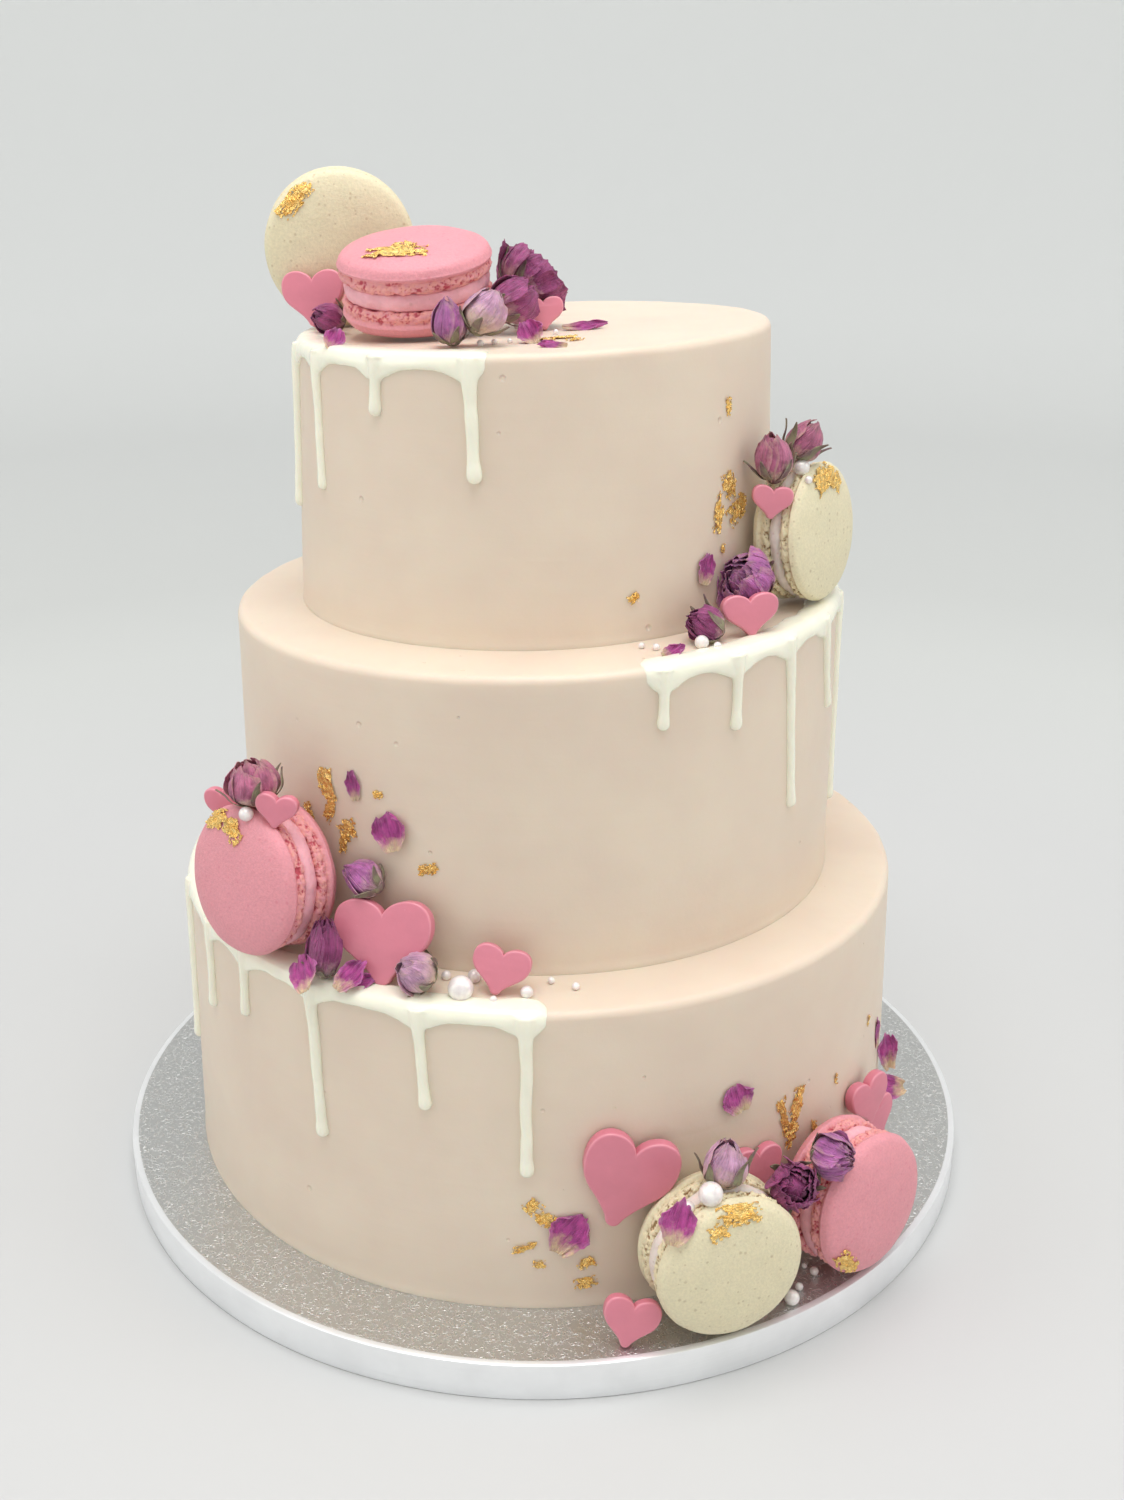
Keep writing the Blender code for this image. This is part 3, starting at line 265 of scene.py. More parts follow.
class ButtercreamSettings(bpy.types.PropertyGroup):
    """Colour and unevenness of the buttercream."""
    tone: colour("Buttercream", "Main colour of the buttercream", 229, 212, 192)
    # The shade colour tints the faint patches and is also painted shade in the pits of the air
    # bubbles.
    shade: colour("Shade", "Colour of its slightly deeper patches", 224, 205, 186)
    uneven: FloatProperty(name="Unevenness", description="How far the scraped wall waves",
                          default=0.0006, min=0.0, max=0.003, precision=4, unit="LENGTH")


class ChocolateSettings(bpy.types.PropertyGroup):
    """Colours of the white chocolate and of the chocolate hearts."""
    white: colour("White chocolate", "Colour of the drips", 249, 246, 226)
    pink: colour("Pink chocolate", "Colour of the hearts", 218, 126, 144)
    edge: colour("Heart edge", "Paler colour of the hearts' edges", 232, 158, 170)


class MacaronSettings(bpy.types.PropertyGroup):
    """Colours of the macarons."""
    pink: colour("Pink shell", "Colour of the pink shells", 229, 152, 161)
    pink_foot: colour("Pink foot", "Colour of the pink shells' ragged foot", 238, 166, 156)
    # The pit colours are painted shade deep in the pits of the ragged foot.
    pink_pit: colour("Pink pits", "Colour deep in the pink foot", 192, 74, 90)
    beige: colour("Beige shell", "Colour of the beige shells", 231, 220, 186)
    beige_foot: colour("Beige foot", "Colour of the beige shells' ragged foot", 238, 222, 184)
    beige_pit: colour("Beige pits", "Colour deep in the beige foot", 150, 116, 74)
    pink_cream: colour("Pink filling", "Colour of the filling of the pink macarons", 232, 168, 178)
    beige_cream: colour("Pale filling", "Colour of the filling of the beige macarons",
                        226, 213, 204)


class FlowerSettings(bpy.types.PropertyGroup):
    """Colours of the dried rosebuds and petals."""
    violet: colour("Violet bud", "Colour of the violet rosebuds", 168, 84, 152)
    rose: colour("Rose bud", "Colour of the rose pink rosebuds", 172, 84, 120)
    dark: colour("Dark bud", "Colour of the dark rosebuds", 150, 44, 112)
    pale: colour("Pale bud", "Colour of the pale rosebuds", 194, 142, 174)
    petal: colour("Petal", "Colour of the loose petals", 178, 48, 140)
    cream: colour("Petal foot", "Colour at the foot of the loose petals", 238, 214, 168)
    green: colour("Sepals", "Colour of the sepals", 142, 140, 110)


class TrimmingSettings(bpy.types.PropertyGroup):
    """Colours of the sugar pearls and the gold leaf."""
    pearl: colour("Pearl", "Colour of the sugar pearls", 250, 245, 240)
    gold: colour("Gold leaf", "Colour of the gold leaf", 255, 222, 146)


class StageSettings(bpy.types.PropertyGroup):
    """The floor round the cake and the light on it."""
    # Painted light: the floor colours pale from near the cake out to the backdrop.
    floor: colour("Floor", "Colour of the floor near the cake", 201, 201, 200)
    far: colour("Far floor", "Colour of the floor farther away", 206, 207, 204)
    backdrop: colour("Backdrop", "Colour of the backdrop", 234, 235, 233)
    sky: FloatProperty(name="Room light", description="Strength of the even light all round",
                       default=0.55, min=0.0, max=5.0)
    overhead: FloatProperty(name="Overhead light", description="Power of the light overhead",
                            default=22.5, min=0.0, max=500.0, unit="POWER")
    sides: FloatProperty(name="Side lights", description="Power of the lights left and right",
                         default=3.8, min=0.0, max=500.0, unit="POWER")
    front: FloatProperty(name="Front light", description="Power of the light behind the camera",
                         default=1.8, min=0.0, max=500.0, unit="POWER")


SETTINGS = {
    "cake_board": BoardSettings, "cake_buttercream": ButtercreamSettings,
    "cake_chocolate": ChocolateSettings, "cake_macarons": MacaronSettings,
    "cake_flowers": FlowerSettings, "cake_trimmings": TrimmingSettings, "cake_stage": StageSettings,
}

# ---------------------------------------------------------------------------------------------
# Places on the cake
# ---------------------------------------------------------------------------------------------


def frame_of(at, heading, rise, turn=0.0):
    """The matrix that puts a piece at a place, its +Z facing a heading and its +Y upwards."""
    across, up = math.radians(heading), math.radians(rise)
    face = Vector((math.cos(up) * math.cos(across), math.cos(up) * math.sin(across), math.sin(up)))
    side = Vector((0.0, 0.0, 1.0)).cross(face).normalized()
    upward = face.cross(side)
    axes = Matrix((side, upward, face)).transposed().to_4x4()
    return Matrix.Translation(at) @ axes @ Matrix.Rotation(math.radians(turn), 4, "Z")


def top_height(name, x):
    """Height of a tier's top, or of the board's, at x; all in metres."""
    if name == "board":
        return BOARD_HEIGHT * MM
    tier = TIERS[name]
    return tier["top"] * MM + tier["top_tilt"] * (x - tier["centre"][0] * MM)


def on_wall(name, angle, height, proud=0.0):
    """The point on a tier's wall at a compass angle and a height; all in metres."""
    tier = TIERS[name]
    share = (height - tier["base"] * MM) / ((tier["top"] - tier["base"]) * MM)
    radius = (tier["foot"] + (tier["rim"] - tier["foot"]) * share) * MM + proud
    turn = math.radians(angle)
    return Vector((tier["centre"][0] * MM + radius * math.cos(turn),
                   tier["centre"][1] * MM + radius * math.sin(turn), height))


def through(points, x):
    """The value at x of a smooth line drawn through the points."""
    index = 0
    while index < len(points) - 2 and x > points[index + 1][0]:
        index += 1
    (x1, y1), (x2, y2) = points[index], points[index + 1]
    x0, y0 = points[index - 1] if index > 0 else (2.0 * x1 - x2, 2.0 * y1 - y2)
    x3, y3 = points[index + 2] if index < len(points) - 2 else (2.0 * x2 - x1, 2.0 * y2 - y1)
    width = x2 - x1
    share = min(1.0, max(0.0, (x - x1) / width))
    rise_1, rise_2 = (y2 - y0) / (x2 - x0) * width, (y3 - y1) / (x3 - x1) * width
    square, cube = share * share, share ** 3
    return (y1 * (2.0 * cube - 3.0 * square + 1.0) + rise_1 * (cube - 2.0 * square + share)
            + y2 * (3.0 * square - 2.0 * cube) + rise_2 * (cube - square))


def ripple_at(x, y, z=0.0):
    """Smooth noise from -1 to 1 at a point."""
    return noise.noise(Vector((x, y, z)))


# ---------------------------------------------------------------------------------------------
# Modelling steps
# ---------------------------------------------------------------------------------------------


def start():
    """Leave edit mode and let go of everything, the loaded nodes too."""
    if bpy.context.object and bpy.context.object.mode != "OBJECT":
        bpy.ops.object.mode_set(mode="OBJECT")
    bpy.ops.object.select_all(action="DESELECT")


def take(piece):
    """Select one piece alone and make it the active one."""
    start()
    piece.select_set(True)
    bpy.context.view_layer.objects.active = piece


def edit(piece, test=None):
    """Go into edit mode on a piece, with only the faces chosen that pass the test."""
    take(piece)
    bpy.ops.object.mode_set(mode="EDIT")
    bpy.ops.mesh.select_mode(type="FACE")
    bpy.ops.mesh.select_all(action="DESELECT")
    if test is not None:
        bpy.ops.object.mode_set(mode="OBJECT")
        for face in piece.data.polygons:
            face.select = test(face)
        bpy.ops.object.mode_set(mode="EDIT")


def put(piece, matrix):
    """Move a piece that was drawn at the origin to its place, and keep that in its mesh."""
    take(piece)
    piece.matrix_world = matrix
    bpy.ops.object.transform_apply(location=True, rotation=True, scale=True)


def join(pieces):
    """Join pieces into the first one."""
    start()
    for piece in pieces:
        piece.select_set(True)
    bpy.context.view_layer.objects.active = pieces[0]
    if len(pieces) > 1:
        bpy.ops.object.join()
    return pieces[0]


def apply_modifier(piece, kind, **settings):
    """Add a modifier with its settings and apply it."""
    take(piece)
    change = piece.modifiers.new("change", kind)
    for name, value in settings.items():
        setattr(change, name, value)
    bpy.ops.object.modifier_apply(modifier=change.name)


def wave(piece, size, amount, group="", basis="ORIGINAL_PERLIN", middle=0.5):
    """Push a surface in and out by a cloudy texture of the given grain size."""
    texture = bpy.data.textures.new("unevenness", "CLOUDS")
    texture.noise_scale = size
    texture.noise_depth = 1
    texture.noise_basis = basis
    apply_modifier(piece, "DISPLACE", texture=texture, strength=amount, mid_level=middle,
                   vertex_group=group)


def turned(outline, steps, span=math.tau):
    """Draw half an outline point by point with extrude and spin it round the upright axis."""
    start()
    bpy.ops.mesh.primitive_plane_add(size=MM)
    piece = bpy.context.object
    bpy.ops.object.mode_set(mode="EDIT")
    bpy.ops.mesh.select_mode(type="VERT")
    bpy.ops.mesh.select_all(action="SELECT")
    bpy.ops.mesh.merge(type="CENTER")
    bpy.ops.transform.translate(value=(outline[0][0], 0.0, outline[0][1]))
    for (radius, height), (next_radius, next_height) in zip(outline, outline[1:]):
        bpy.ops.mesh.extrude_region_move(TRANSFORM_OT_translate={
            "value": (next_radius - radius, 0.0, next_height - height)})
    bpy.ops.mesh.select_all(action="SELECT")
    bpy.ops.mesh.spin(steps=steps, angle=span, center=(0.0, 0.0, 0.0), axis=(0.0, 0.0, 1.0))
    bpy.ops.mesh.select_all(action="SELECT")
    bpy.ops.mesh.remove_doubles(threshold=0.002 * MM)
    bpy.ops.mesh.normals_make_consistent(inside=False)
    bpy.ops.object.mode_set(mode="OBJECT")
    return piece


def sheet(columns, rows):
    """A flat grid one unit square in size, with its own UV map."""
    start()
    bpy.ops.mesh.primitive_grid_add(x_subdivisions=columns, y_subdivisions=rows, size=1.0)
    return bpy.context.object


def ball(radius, segments=28):
    """A round ball at the origin."""
    start()
    bpy.ops.mesh.primitive_uv_sphere_add(segments=segments, ring_count=segments // 2,
                                         radius=radius)
    return bpy.context.object


def tree_of(*pieces):
    """A search tree over the faces of some pieces."""
    points, faces = [], []
    for piece in pieces:
        first = len(points)
        points.extend(vertex.co.copy() for vertex in piece.data.vertices)
        faces.extend(tuple(index + first for index in face.vertices)
                     for face in piece.data.polygons)
    return BVHTree.FromPolygons(points, faces)


def painted(piece, surface):
    """Give a part of a piece its surface before it is joined to the rest."""
    piece.data.materials.clear()
    piece.data.materials.append(surface)
    return piece


def dress(piece, name, nodes, angle=40.0):
    """Name a finished piece, smooth its shading and let it stand for its solids."""
    take(piece)
    bpy.ops.object.shade_smooth_by_angle(angle=math.radians(angle))
    piece.name = name
    piece.data.name = name
    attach(piece, "root")
    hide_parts(*nodes)
    return piece


# ---------------------------------------------------------------------------------------------
# Materials
# ---------------------------------------------------------------------------------------------


def node(tree, kind, values=None, **options):
    """Add a shader node; values set or link its inputs, options set the node itself."""
    made = tree.nodes.new("ShaderNode" + kind)
    for option, value in options.items():
        setattr(made, option, value)
    for socket, value in (values or {}).items():
        if isinstance(value, bpy.types.NodeSocket):
            tree.links.new(value, made.inputs[socket])
        else:
            made.inputs[socket].default_value = value
    return made


def mixed(tree, share, first, second):
    """The colour between two colours, by a share."""
    mix = node(tree, "Mix", {0: share}, data_type="RGBA")
    for index, value in ((6, first), (7, second)):
        if isinstance(value, bpy.types.NodeSocket):
            tree.links.new(value, mix.inputs[index])
        else:
            mix.inputs[index].default_value = (*value, 1.0)
    return mix.outputs[2]


def ranged(tree, value, low, high, new_low=0.0, new_high=1.0):
    """A value stretched from one range to another, and held inside it."""
    return node(tree, "MapRange", {"Value": value, "From Min": low, "From Max": high,
                                   "To Min": new_low, "To Max": new_high}).outputs[0]


def sums(tree, operation, first, second):
    """The result of a sum on two values."""
    return node(tree, "Math", {0: first, 1: second}, operation=operation).outputs[0]


def effect(name, inputs, outputs):
    """A new shader node group with its named sockets, ready to be filled."""
    group = bpy.data.node_groups.new(name, "ShaderNodeTree")
    for label, kind, value in inputs:
        socket = group.interface.new_socket(label, in_out="INPUT", socket_type=kind)
        socket.default_value = value
    for label, kind in outputs:
        group.interface.new_socket(label, in_out="OUTPUT", socket_type=kind)
    return group, group.nodes.new("NodeGroupInput"), group.nodes.new("NodeGroupOutput")


def mottle_effect():
    """Two colours that drift into each other in soft patches."""
    group, given, result = effect("Mottle", [
        ("First", "NodeSocketColor", (1, 1, 1, 1)), ("Second", "NodeSocketColor", (1, 1, 1, 1)),
        ("Scale", "NodeSocketFloat", 40.0)], [("Color", "NodeSocketColor")])
    place = node(group, "TexCoord").outputs["Object"]
    clouds = node(group, "TexNoise", {"Vector": place, "Scale": given.outputs["Scale"],
                                      "Detail": 3.0, "Roughness": 0.55})
    share = ranged(group, clouds.outputs["Fac"], 0.36, 0.64)
    colour_out = mixed(group, share, given.outputs["First"], given.outputs["Second"])
    group.links.new(colour_out, result.inputs["Color"])
    return group


def grain_effect():
    """The height of a surface with a coarse and a fine grain."""
    group, given, result = effect("Grain", [
        ("Coarse", "NodeSocketFloat", 300.0), ("Fine", "NodeSocketFloat", 1500.0),
        ("Fine share", "NodeSocketFloat", 0.4)], [("Height", "NodeSocketFloat")])
    place = node(group, "TexCoord").outputs["Object"]
    coarse = node(group, "TexNoise", {"Vector": place, "Scale": given.outputs["Coarse"],
                                      "Detail": 2.0}).outputs["Fac"]
    fine = node(group, "TexNoise", {"Vector": place, "Scale": given.outputs["Fine"],
                                    "Detail": 3.0, "Roughness": 0.6}).outputs["Fac"]
    small = sums(group, "MULTIPLY", fine, given.outputs["Fine share"])
    group.links.new(sums(group, "ADD", coarse, small), result.inputs["Height"])
    return group


def speck_effect():
    """A mask of scattered round specks of uneven size."""
    group, given, result = effect("Specks", [
        ("Scale", "NodeSocketFloat", 600.0), ("Size", "NodeSocketFloat", 0.3)],
        [("Mask", "NodeSocketFloat")])
    place = node(group, "TexCoord").outputs["Object"]
    cells = node(group, "TexVoronoi", {"Vector": place, "Scale": given.outputs["Scale"]})
    chance = node(group, "SeparateColor", {"Color": cells.outputs["Color"]}).outputs["Red"]
    size = sums(group, "MULTIPLY", sums(group, "POWER", chance, 3.0), given.outputs["Size"])
    inner = sums(group, "MULTIPLY", size, 0.5)
    mask = ranged(group, cells.outputs["Distance"], size, inner)
    group.links.new(mask, result.inputs["Mask"])
    return group


def vein_effect():
    """Veins and folds that run from a petal's foot to its rim, and a mask of the rim."""
    group, given, result = effect("Veins", [
        ("Across", "NodeSocketFloat", 16.0), ("Along", "NodeSocketFloat", 2.0)],
        [("Mask", "NodeSocketFloat"), ("Rim", "NodeSocketFloat"), ("Along", "NodeSocketFloat")])
    spot = node(group, "TexCoord").outputs["UV"]
    stretch = node(group, "CombineXYZ", {"X": given.outputs["Across"], "Y": given.outputs["Along"],
                                         "Z": 1.0}).outputs[0]
    drawn = node(group, "VectorMath", {0: spot, 1: stretch}, operation="MULTIPLY").outputs[0]
    lines = node(group, "TexNoise", {"Vector": drawn, "Scale": 1.0, "Detail": 5.0,
                                     "Roughness": 0.6, "Distortion": 0.4}).outputs["Fac"]
    group.links.new(ranged(group, lines, 0.34, 0.66), result.inputs["Mask"])
    split = node(group, "SeparateXYZ", {"Vector": spot})
    off = sums(group, "ABSOLUTE", sums(group, "SUBTRACT", split.outputs["X"], 0.5), 0.0)
    side = ranged(group, off, 0.36, 0.5)
    tip = ranged(group, split.outputs["Y"], 0.8, 1.0)
    group.links.new(sums(group, "MAXIMUM", side, tip), result.inputs["Rim"])
    group.links.new(split.outputs["Y"], result.inputs["Along"])
    return group


EFFECTS = {"Mottle": mottle_effect, "Grain": grain_effect, "Specks": speck_effect,
           "Veins": vein_effect}


def placed(tree, name, **values):
    """Place a shared effect in a material with its own values; the group is built once."""
    group = bpy.data.node_groups.get(name) or EFFECTS[name]()
    made = tree.nodes.new("ShaderNodeGroup")
    made.node_tree = group
    for label, value in values.items():
        socket = made.inputs[label.replace("_", " ")]
        if isinstance(value, bpy.types.NodeSocket):
            tree.links.new(value, socket)
        else:
            socket.default_value = value
    return made


def surface(name, fill, roughness, **sockets):
    """The material of a name. The first time, its shader's own values are set and fill gives it
    its colour, its height and the depth of that height."""
    made = bpy.data.materials.get(name)
    if made:
        return made
    made = bpy.data.materials.new(name)
    made.use_nodes = True
    tree = made.node_tree
    shader = tree.nodes["Principled BSDF"]
    shader.inputs["Roughness"].default_value = roughness
    for label, value in sockets.items():
        shader.inputs[label.replace("_", " ")].default_value = value
    tint, height, depth = fill(tree)
    tree.links.new(tint, shader.inputs["Base Color"])
    bump = node(tree, "Bump", {"Height": height, "Distance": depth})
    tree.links.new(bump.outputs["Normal"], shader.inputs["Normal"])
    return made


def scaled(tone, factor, more=0.0):
    """A tone made darker or paler."""
    return tuple(min(1.0, value * factor + more) for value in tone)


def mottled(tree, first, second, scale):
    """Two tones that drift into each other in patches."""
    return placed(tree, "Mottle", First=(*first, 1.0), Second=(*second, 1.0),
                  Scale=scale).outputs["Color"]


def grained(tree, coarse, fine, share):
    """The height of a coarse grain with a share of a fine one."""
    return placed(tree, "Grain", Coarse=coarse, Fine=fine, Fine_share=share).outputs["Height"]


def specked(tree, scale, size, strength):
    """The mask of scattered specks, at a strength."""
    mask = placed(tree, "Specks", Scale=scale, Size=size).outputs["Mask"]
    return sums(tree, "MULTIPLY", mask, strength)


def drawn_out(tree, stretch, detail):
    """Noise drawn out into lines by an uneven scale."""
    place = node(tree, "TexCoord").outputs["Object"]
    flat = node(tree, "Mapping", {"Vector": place, "Scale": stretch}).outputs[0]
    return node(tree, "TexNoise", {"Vector": flat, "Scale": 1.0, "Detail": detail}).outputs["Fac"]


def attribute(tree, name):
    """A value that the mesh keeps for each of its points."""
    return node(tree, "Attribute", attribute_name=name).outputs["Fac"]


def buttercream_surface():
    """Satin buttercream: faint patches, scraper lines and a few burst air bubbles, with painted
    shade in their pits.
    """
    tones = bpy.context.scene.cake_buttercream

    def fill(tree):
        pits = specked(tree, 95.0, 0.11, 1.0)
        patches = mottled(tree, tones.tone, tones.shade, 22.0)
        # Painted shade: the pits of the burst air bubbles are tinted a share towards the shade
        # colour.
        tint = mixed(tree, sums(tree, "MULTIPLY", pits, 0.35), patches, tones.shade)
        lines = drawn_out(tree, (9.0, 9.0, 260.0), 4.0)
        rough = sums(tree, "ADD", lines, grained(tree, 160.0, 900.0, 0.25))
        height = sums(tree, "SUBTRACT", sums(tree, "MULTIPLY", rough, 0.5),
                      sums(tree, "MULTIPLY", pits, 1.4))
        return tint, height, 0.00022

    return surface("scraped buttercream", fill, 0.46, Subsurface_Weight=0.18,
                   Subsurface_Scale=0.004, Specular_IOR_Level=0.42)


def white_chocolate_surface():
    """Set white chocolate, smooth and glossy."""
    tone = bpy.context.scene.cake_chocolate.white

    def fill(tree):
        patches = mottled(tree, tone, scaled(tone, 0.955), 120.0)
        return patches, grained(tree, 250.0, 1400.0, 0.15), 0.00012

    return surface("white chocolate", fill, 0.26, Subsurface_Weight=0.12, Subsurface_Scale=0.002,
                   Coat_Weight=0.25, Coat_Roughness=0.18)


def shell_surface(kind):
    """A macaron shell: matt and finely grained, with a paler ragged foot and painted shade in its
    deep pits.
    """
    tones = bpy.context.scene.cake_macarons
    crown, foot, pit_shade = (tuple(getattr(tones, kind + part)) for part in ("", "_foot", "_pit"))
    fleck, flecks = (screen(206, 96, 118), 0.3)
    if kind == "beige":
        fleck, flecks = (screen(168, 140, 98), 0.38)

    def fill(tree):
        patches = mottled(tree, crown, scaled(crown, 0.93), 150.0)
        sugar = mottled(tree, scaled(crown, 0.90), scaled(crown, 1.07), 1300.0)
        meal = specked(tree, 620.0, 0.42, flecks)
        dome = mixed(tree, meal, mixed(tree, 0.55, patches, sugar), fleck)
        # Painted shade: the ragged foot darkens towards the pit colour the deeper its pits are
        # pushed in.
        deep = ranged(tree, attribute(tree, "pit_depth"), 0.58, 0.88)
        ragged = mixed(tree, deep, mottled(tree, foot, crown, 700.0), pit_shade)
        tint = mixed(tree, attribute(tree, "foot_share"), dome, ragged)
        return tint, grained(tree, 900.0, 2600.0, 0.7), 0.00018

    return surface(kind + " macaron shell", fill, 0.52, Subsurface_Weight=0.08,
                   Subsurface_Scale=0.002, Specular_IOR_Level=0.45)


def filling_surface(kind):
    """Piped cream filling with a few flecks."""
    tone = tuple(getattr(bpy.context.scene.cake_macarons, kind + "_cream"))

    def fill(tree):
        patches = mottled(tree, tone, scaled(tone, 1.10, 0.02), 260.0)
        tint = mixed(tree, specked(tree, 500.0, 0.35, 0.3), patches, (0.42, 0.20, 0.16))
        return tint, grained(tree, 420.0, 1500.0, 0.4), 0.0003

    return surface(kind + " macaron filling", fill, 0.48, Subsurface_Weight=0.15,
                   Subsurface_Scale=0.002)


def pink_chocolate_surface():
    """Moulded pink chocolate, paler in a band along its rounded edges and in a few specks."""
    tones = bpy.context.scene.cake_chocolate

    def fill(tree):
        # Paler in a band along the rounded edges of both faces, and in a few specks.
        edge = sums(tree, "MULTIPLY", attribute(tree, "edge"), 0.7)
        paler_band = sums(tree, "MAXIMUM", edge, specked(tree, 420.0, 0.22, 0.3))
        patches = mottled(tree, tones.pink, scaled(tones.pink, 0.93), 110.0)
        return mixed(tree, paler_band, patches, tones.edge), grained(tree, 200.0, 1300.0, 0.2), 0.00014

    return surface("pink chocolate", fill, 0.36, Subsurface_Weight=0.05, Subsurface_Scale=0.001,
                   Coat_Weight=0.1, Coat_Roughness=0.3)


def flower_surface(name, tone, foot, foot_reach, rim_tone, rim_share):
    """A dried petal: pale at its foot, veined, mottled, and with a dry rim of another tone."""
    dark, light = scaled(tone, 0.52), scaled(tone, 1.45, 0.05)

    def fill(tree):
        veins = placed(tree, "Veins", Across=15.0, Along=1.8)
        body = mixed(tree, veins.outputs["Mask"], dark, light)
        body = mixed(tree, 0.45, body, mottled(tree, light, dark, 300.0))
        cloud = grained(tree, 420.0, 1500.0, 0.4)
        wander = sums(tree, "MULTIPLY", sums(tree, "SUBTRACT", cloud, 0.7), 0.6)
        reach = sums(tree, "ADD", veins.outputs["Along"], wander)
        body = mixed(tree, ranged(tree, reach, 0.06, foot_reach, 0.9, 0.0), body, foot)
        rim = sums(tree, "MULTIPLY", veins.outputs["Rim"], ranged(tree, cloud, 0.55, 0.85))
        body = mixed(tree, sums(tree, "MULTIPLY", rim, rim_share), body, rim_tone)
        return body, sums(tree, "ADD", veins.outputs["Mask"], cloud), 0.00045

    return surface(name, fill, 0.58, Subsurface_Weight=0.1, Subsurface_Scale=0.0008,
                   Sheen_Weight=0.15)


def sepal_surface():
    """Dry grey-green sepals with a touch of purple."""
    tone = bpy.context.scene.cake_flowers.green

    def fill(tree):
        lines = placed(tree, "Veins", Across=5.0, Along=2.0).outputs["Mask"]
        patches = mottled(tree, tone, screen(112, 72, 92), 330.0)
        tint = mixed(tree, sums(tree, "MULTIPLY", lines, 0.45), patches, screen(158, 152, 116))
        return tint, lines, 0.0002

    return surface("dried sepals", fill, 0.66, Subsurface_Weight=0.06, Subsurface_Scale=0.0006)


def pearl_surface():
    """Sugar pearl with a soft lustre."""
    tone = bpy.context.scene.cake_trimmings.pearl

    def fill(tree):
        patches = mottled(tree, tone, screen(232, 222, 220), 420.0)
        return patches, grained(tree, 500.0, 2400.0, 0.2), 0.00006

    return surface("sugar pearl", fill, 0.3, Coat_Weight=0.6, Coat_Roughness=0.12,
                   Subsurface_Weight=0.1, Subsurface_Scale=0.001, Metallic=0.12)


def gold_surface():
    """Crinkled gold leaf."""
    tone = bpy.context.scene.cake_trimmings.gold
    deeper = (tone[0] * 0.97, tone[1] * 0.78, tone[2] * 0.52)

    def fill(tree):
        return mottled(tree, tone, deeper, 700.0), grained(tree, 700.0, 2000.0, 0.5), 0.0012

    return surface("gold leaf", fill, 0.22, Metallic=0.85)


def foil_surface():
    """Embossed silver foil: a close pattern of short curled strokes."""
    tones = bpy.context.scene.cake_board

    def fill(tree):
        place = node(tree, "TexCoord").outputs["Object"]
        drift = node(tree, "TexNoise", {"Vector": place, "Scale": 260.0, "Detail": 2.0})
        bent = node(tree, "VectorMath", {0: drift.outputs["Color"], 1: (0.004, 0.004, 0.0)},
                    operation="MULTIPLY").outputs[0]
        moved = node(tree, "VectorMath", {0: place, 1: bent}, operation="ADD").outputs[0]
        strokes = node(tree, "TexVoronoi", {"Vector": moved, "Scale": 1050.0},
                       feature="DISTANCE_TO_EDGE").outputs["Distance"]
        broken = node(tree, "TexNoise", {"Vector": place, "Scale": 900.0, "Detail": 1.0})
        raised = sums(tree, "MULTIPLY", ranged(tree, strokes, 0.03, 0.16, 1.0, 0.0),
                      ranged(tree, broken.outputs["Fac"], 0.42, 0.58))
        rough = ranged(tree, raised, 0.0, 1.0, 0.38, 0.24)
        tree.links.new(rough, tree.nodes["Principled BSDF"].inputs["Roughness"])
        tint = mixed(tree, raised, scaled(tones.foil, 0.90), scaled(tones.foil, 1.12))
        return tint, raised, tones.emboss

    return surface("embossed silver foil", fill, 0.34, Metallic=0.9)


def band_surface():
    """The smooth satin foil band round the board's edge."""
    tone = bpy.context.scene.cake_board.edge

    def fill(tree):
        patches = mottled(tree, tone, scaled(tone, 0.94), 60.0)
        return patches, drawn_out(tree, (40.0, 40.0, 900.0), 3.0), 0.00008

    return surface("satin silver band", fill, 0.36, Metallic=0.55)


def stage_surface():
    """The pale floor, with painted light: darker near the cake and paler out to the backdrop."""
    tones = bpy.context.scene.cake_stage

    def fill(tree):
        place = node(tree, "TexCoord").outputs["Object"]
        away = node(tree, "VectorMath", {0: place}, operation="LENGTH").outputs["Value"]
        # Painted light: the floor's colour pales from near the cake out to the backdrop.
        tint = mixed(tree, ranged(tree, away, 0.36, 0.62), tones.floor, tones.far)
        tint = mixed(tree, ranged(tree, away, 0.8, 1.9), tint, tones.backdrop)
        return tint, grained(tree, 60.0, 500.0, 0.3), 0.00008

    return surface("pale floor", fill, 0.5, Specular_IOR_Level=0.3)


# ---------------------------------------------------------------------------------------------
# Board and buttercream
# ---------------------------------------------------------------------------------------------


def make_board():
    """The drum board: embossed foil on top, a smooth band round its edge."""
    radius, height, edge = BOARD_RADIUS * MM, BOARD_HEIGHT * MM, 0.8 * MM
    outline = [(0.0, 0.0), (0.10, 0.0), (radius - edge, 0.0), (radius - 0.25 * edge, 0.25 * edge),
               (radius, edge), (radius, height * 0.5), (radius, height - edge),
               (radius - 0.25 * edge, height - 0.25 * edge), (radius - edge, height),
               (radius - 2.2 * MM, height), (radius - 2.6 * MM, height - 0.08 * MM),
               (0.13, height - 0.08 * MM), (0.11, height), (0.0, height)]
    piece = turned(outline, ROUND_STEPS)
    wave(piece, 0.02, 0.15 * MM)
    for vertex in piece.data.vertices:
        shrink = min(1.0, (radius - 0.01 * MM) / max(math.hypot(vertex.co.x, vertex.co.y), edge))
        vertex.co = Vector((vertex.co.x * shrink, vertex.co.y * shrink,
                            min(height, max(0.0, vertex.co.z))))
    inner = radius - 2.4 * MM
    painted(piece, band_surface())
    piece.data.materials.append(foil_surface())
    edit(piece, lambda face: face.normal.z > 0.8
         and math.hypot(face.center.x, face.center.y) < inner)
    piece.active_material_index = 1
    bpy.ops.object.material_slot_assign()
    start()
    return dress(piece, "silver_board", ["board"], 50.0)


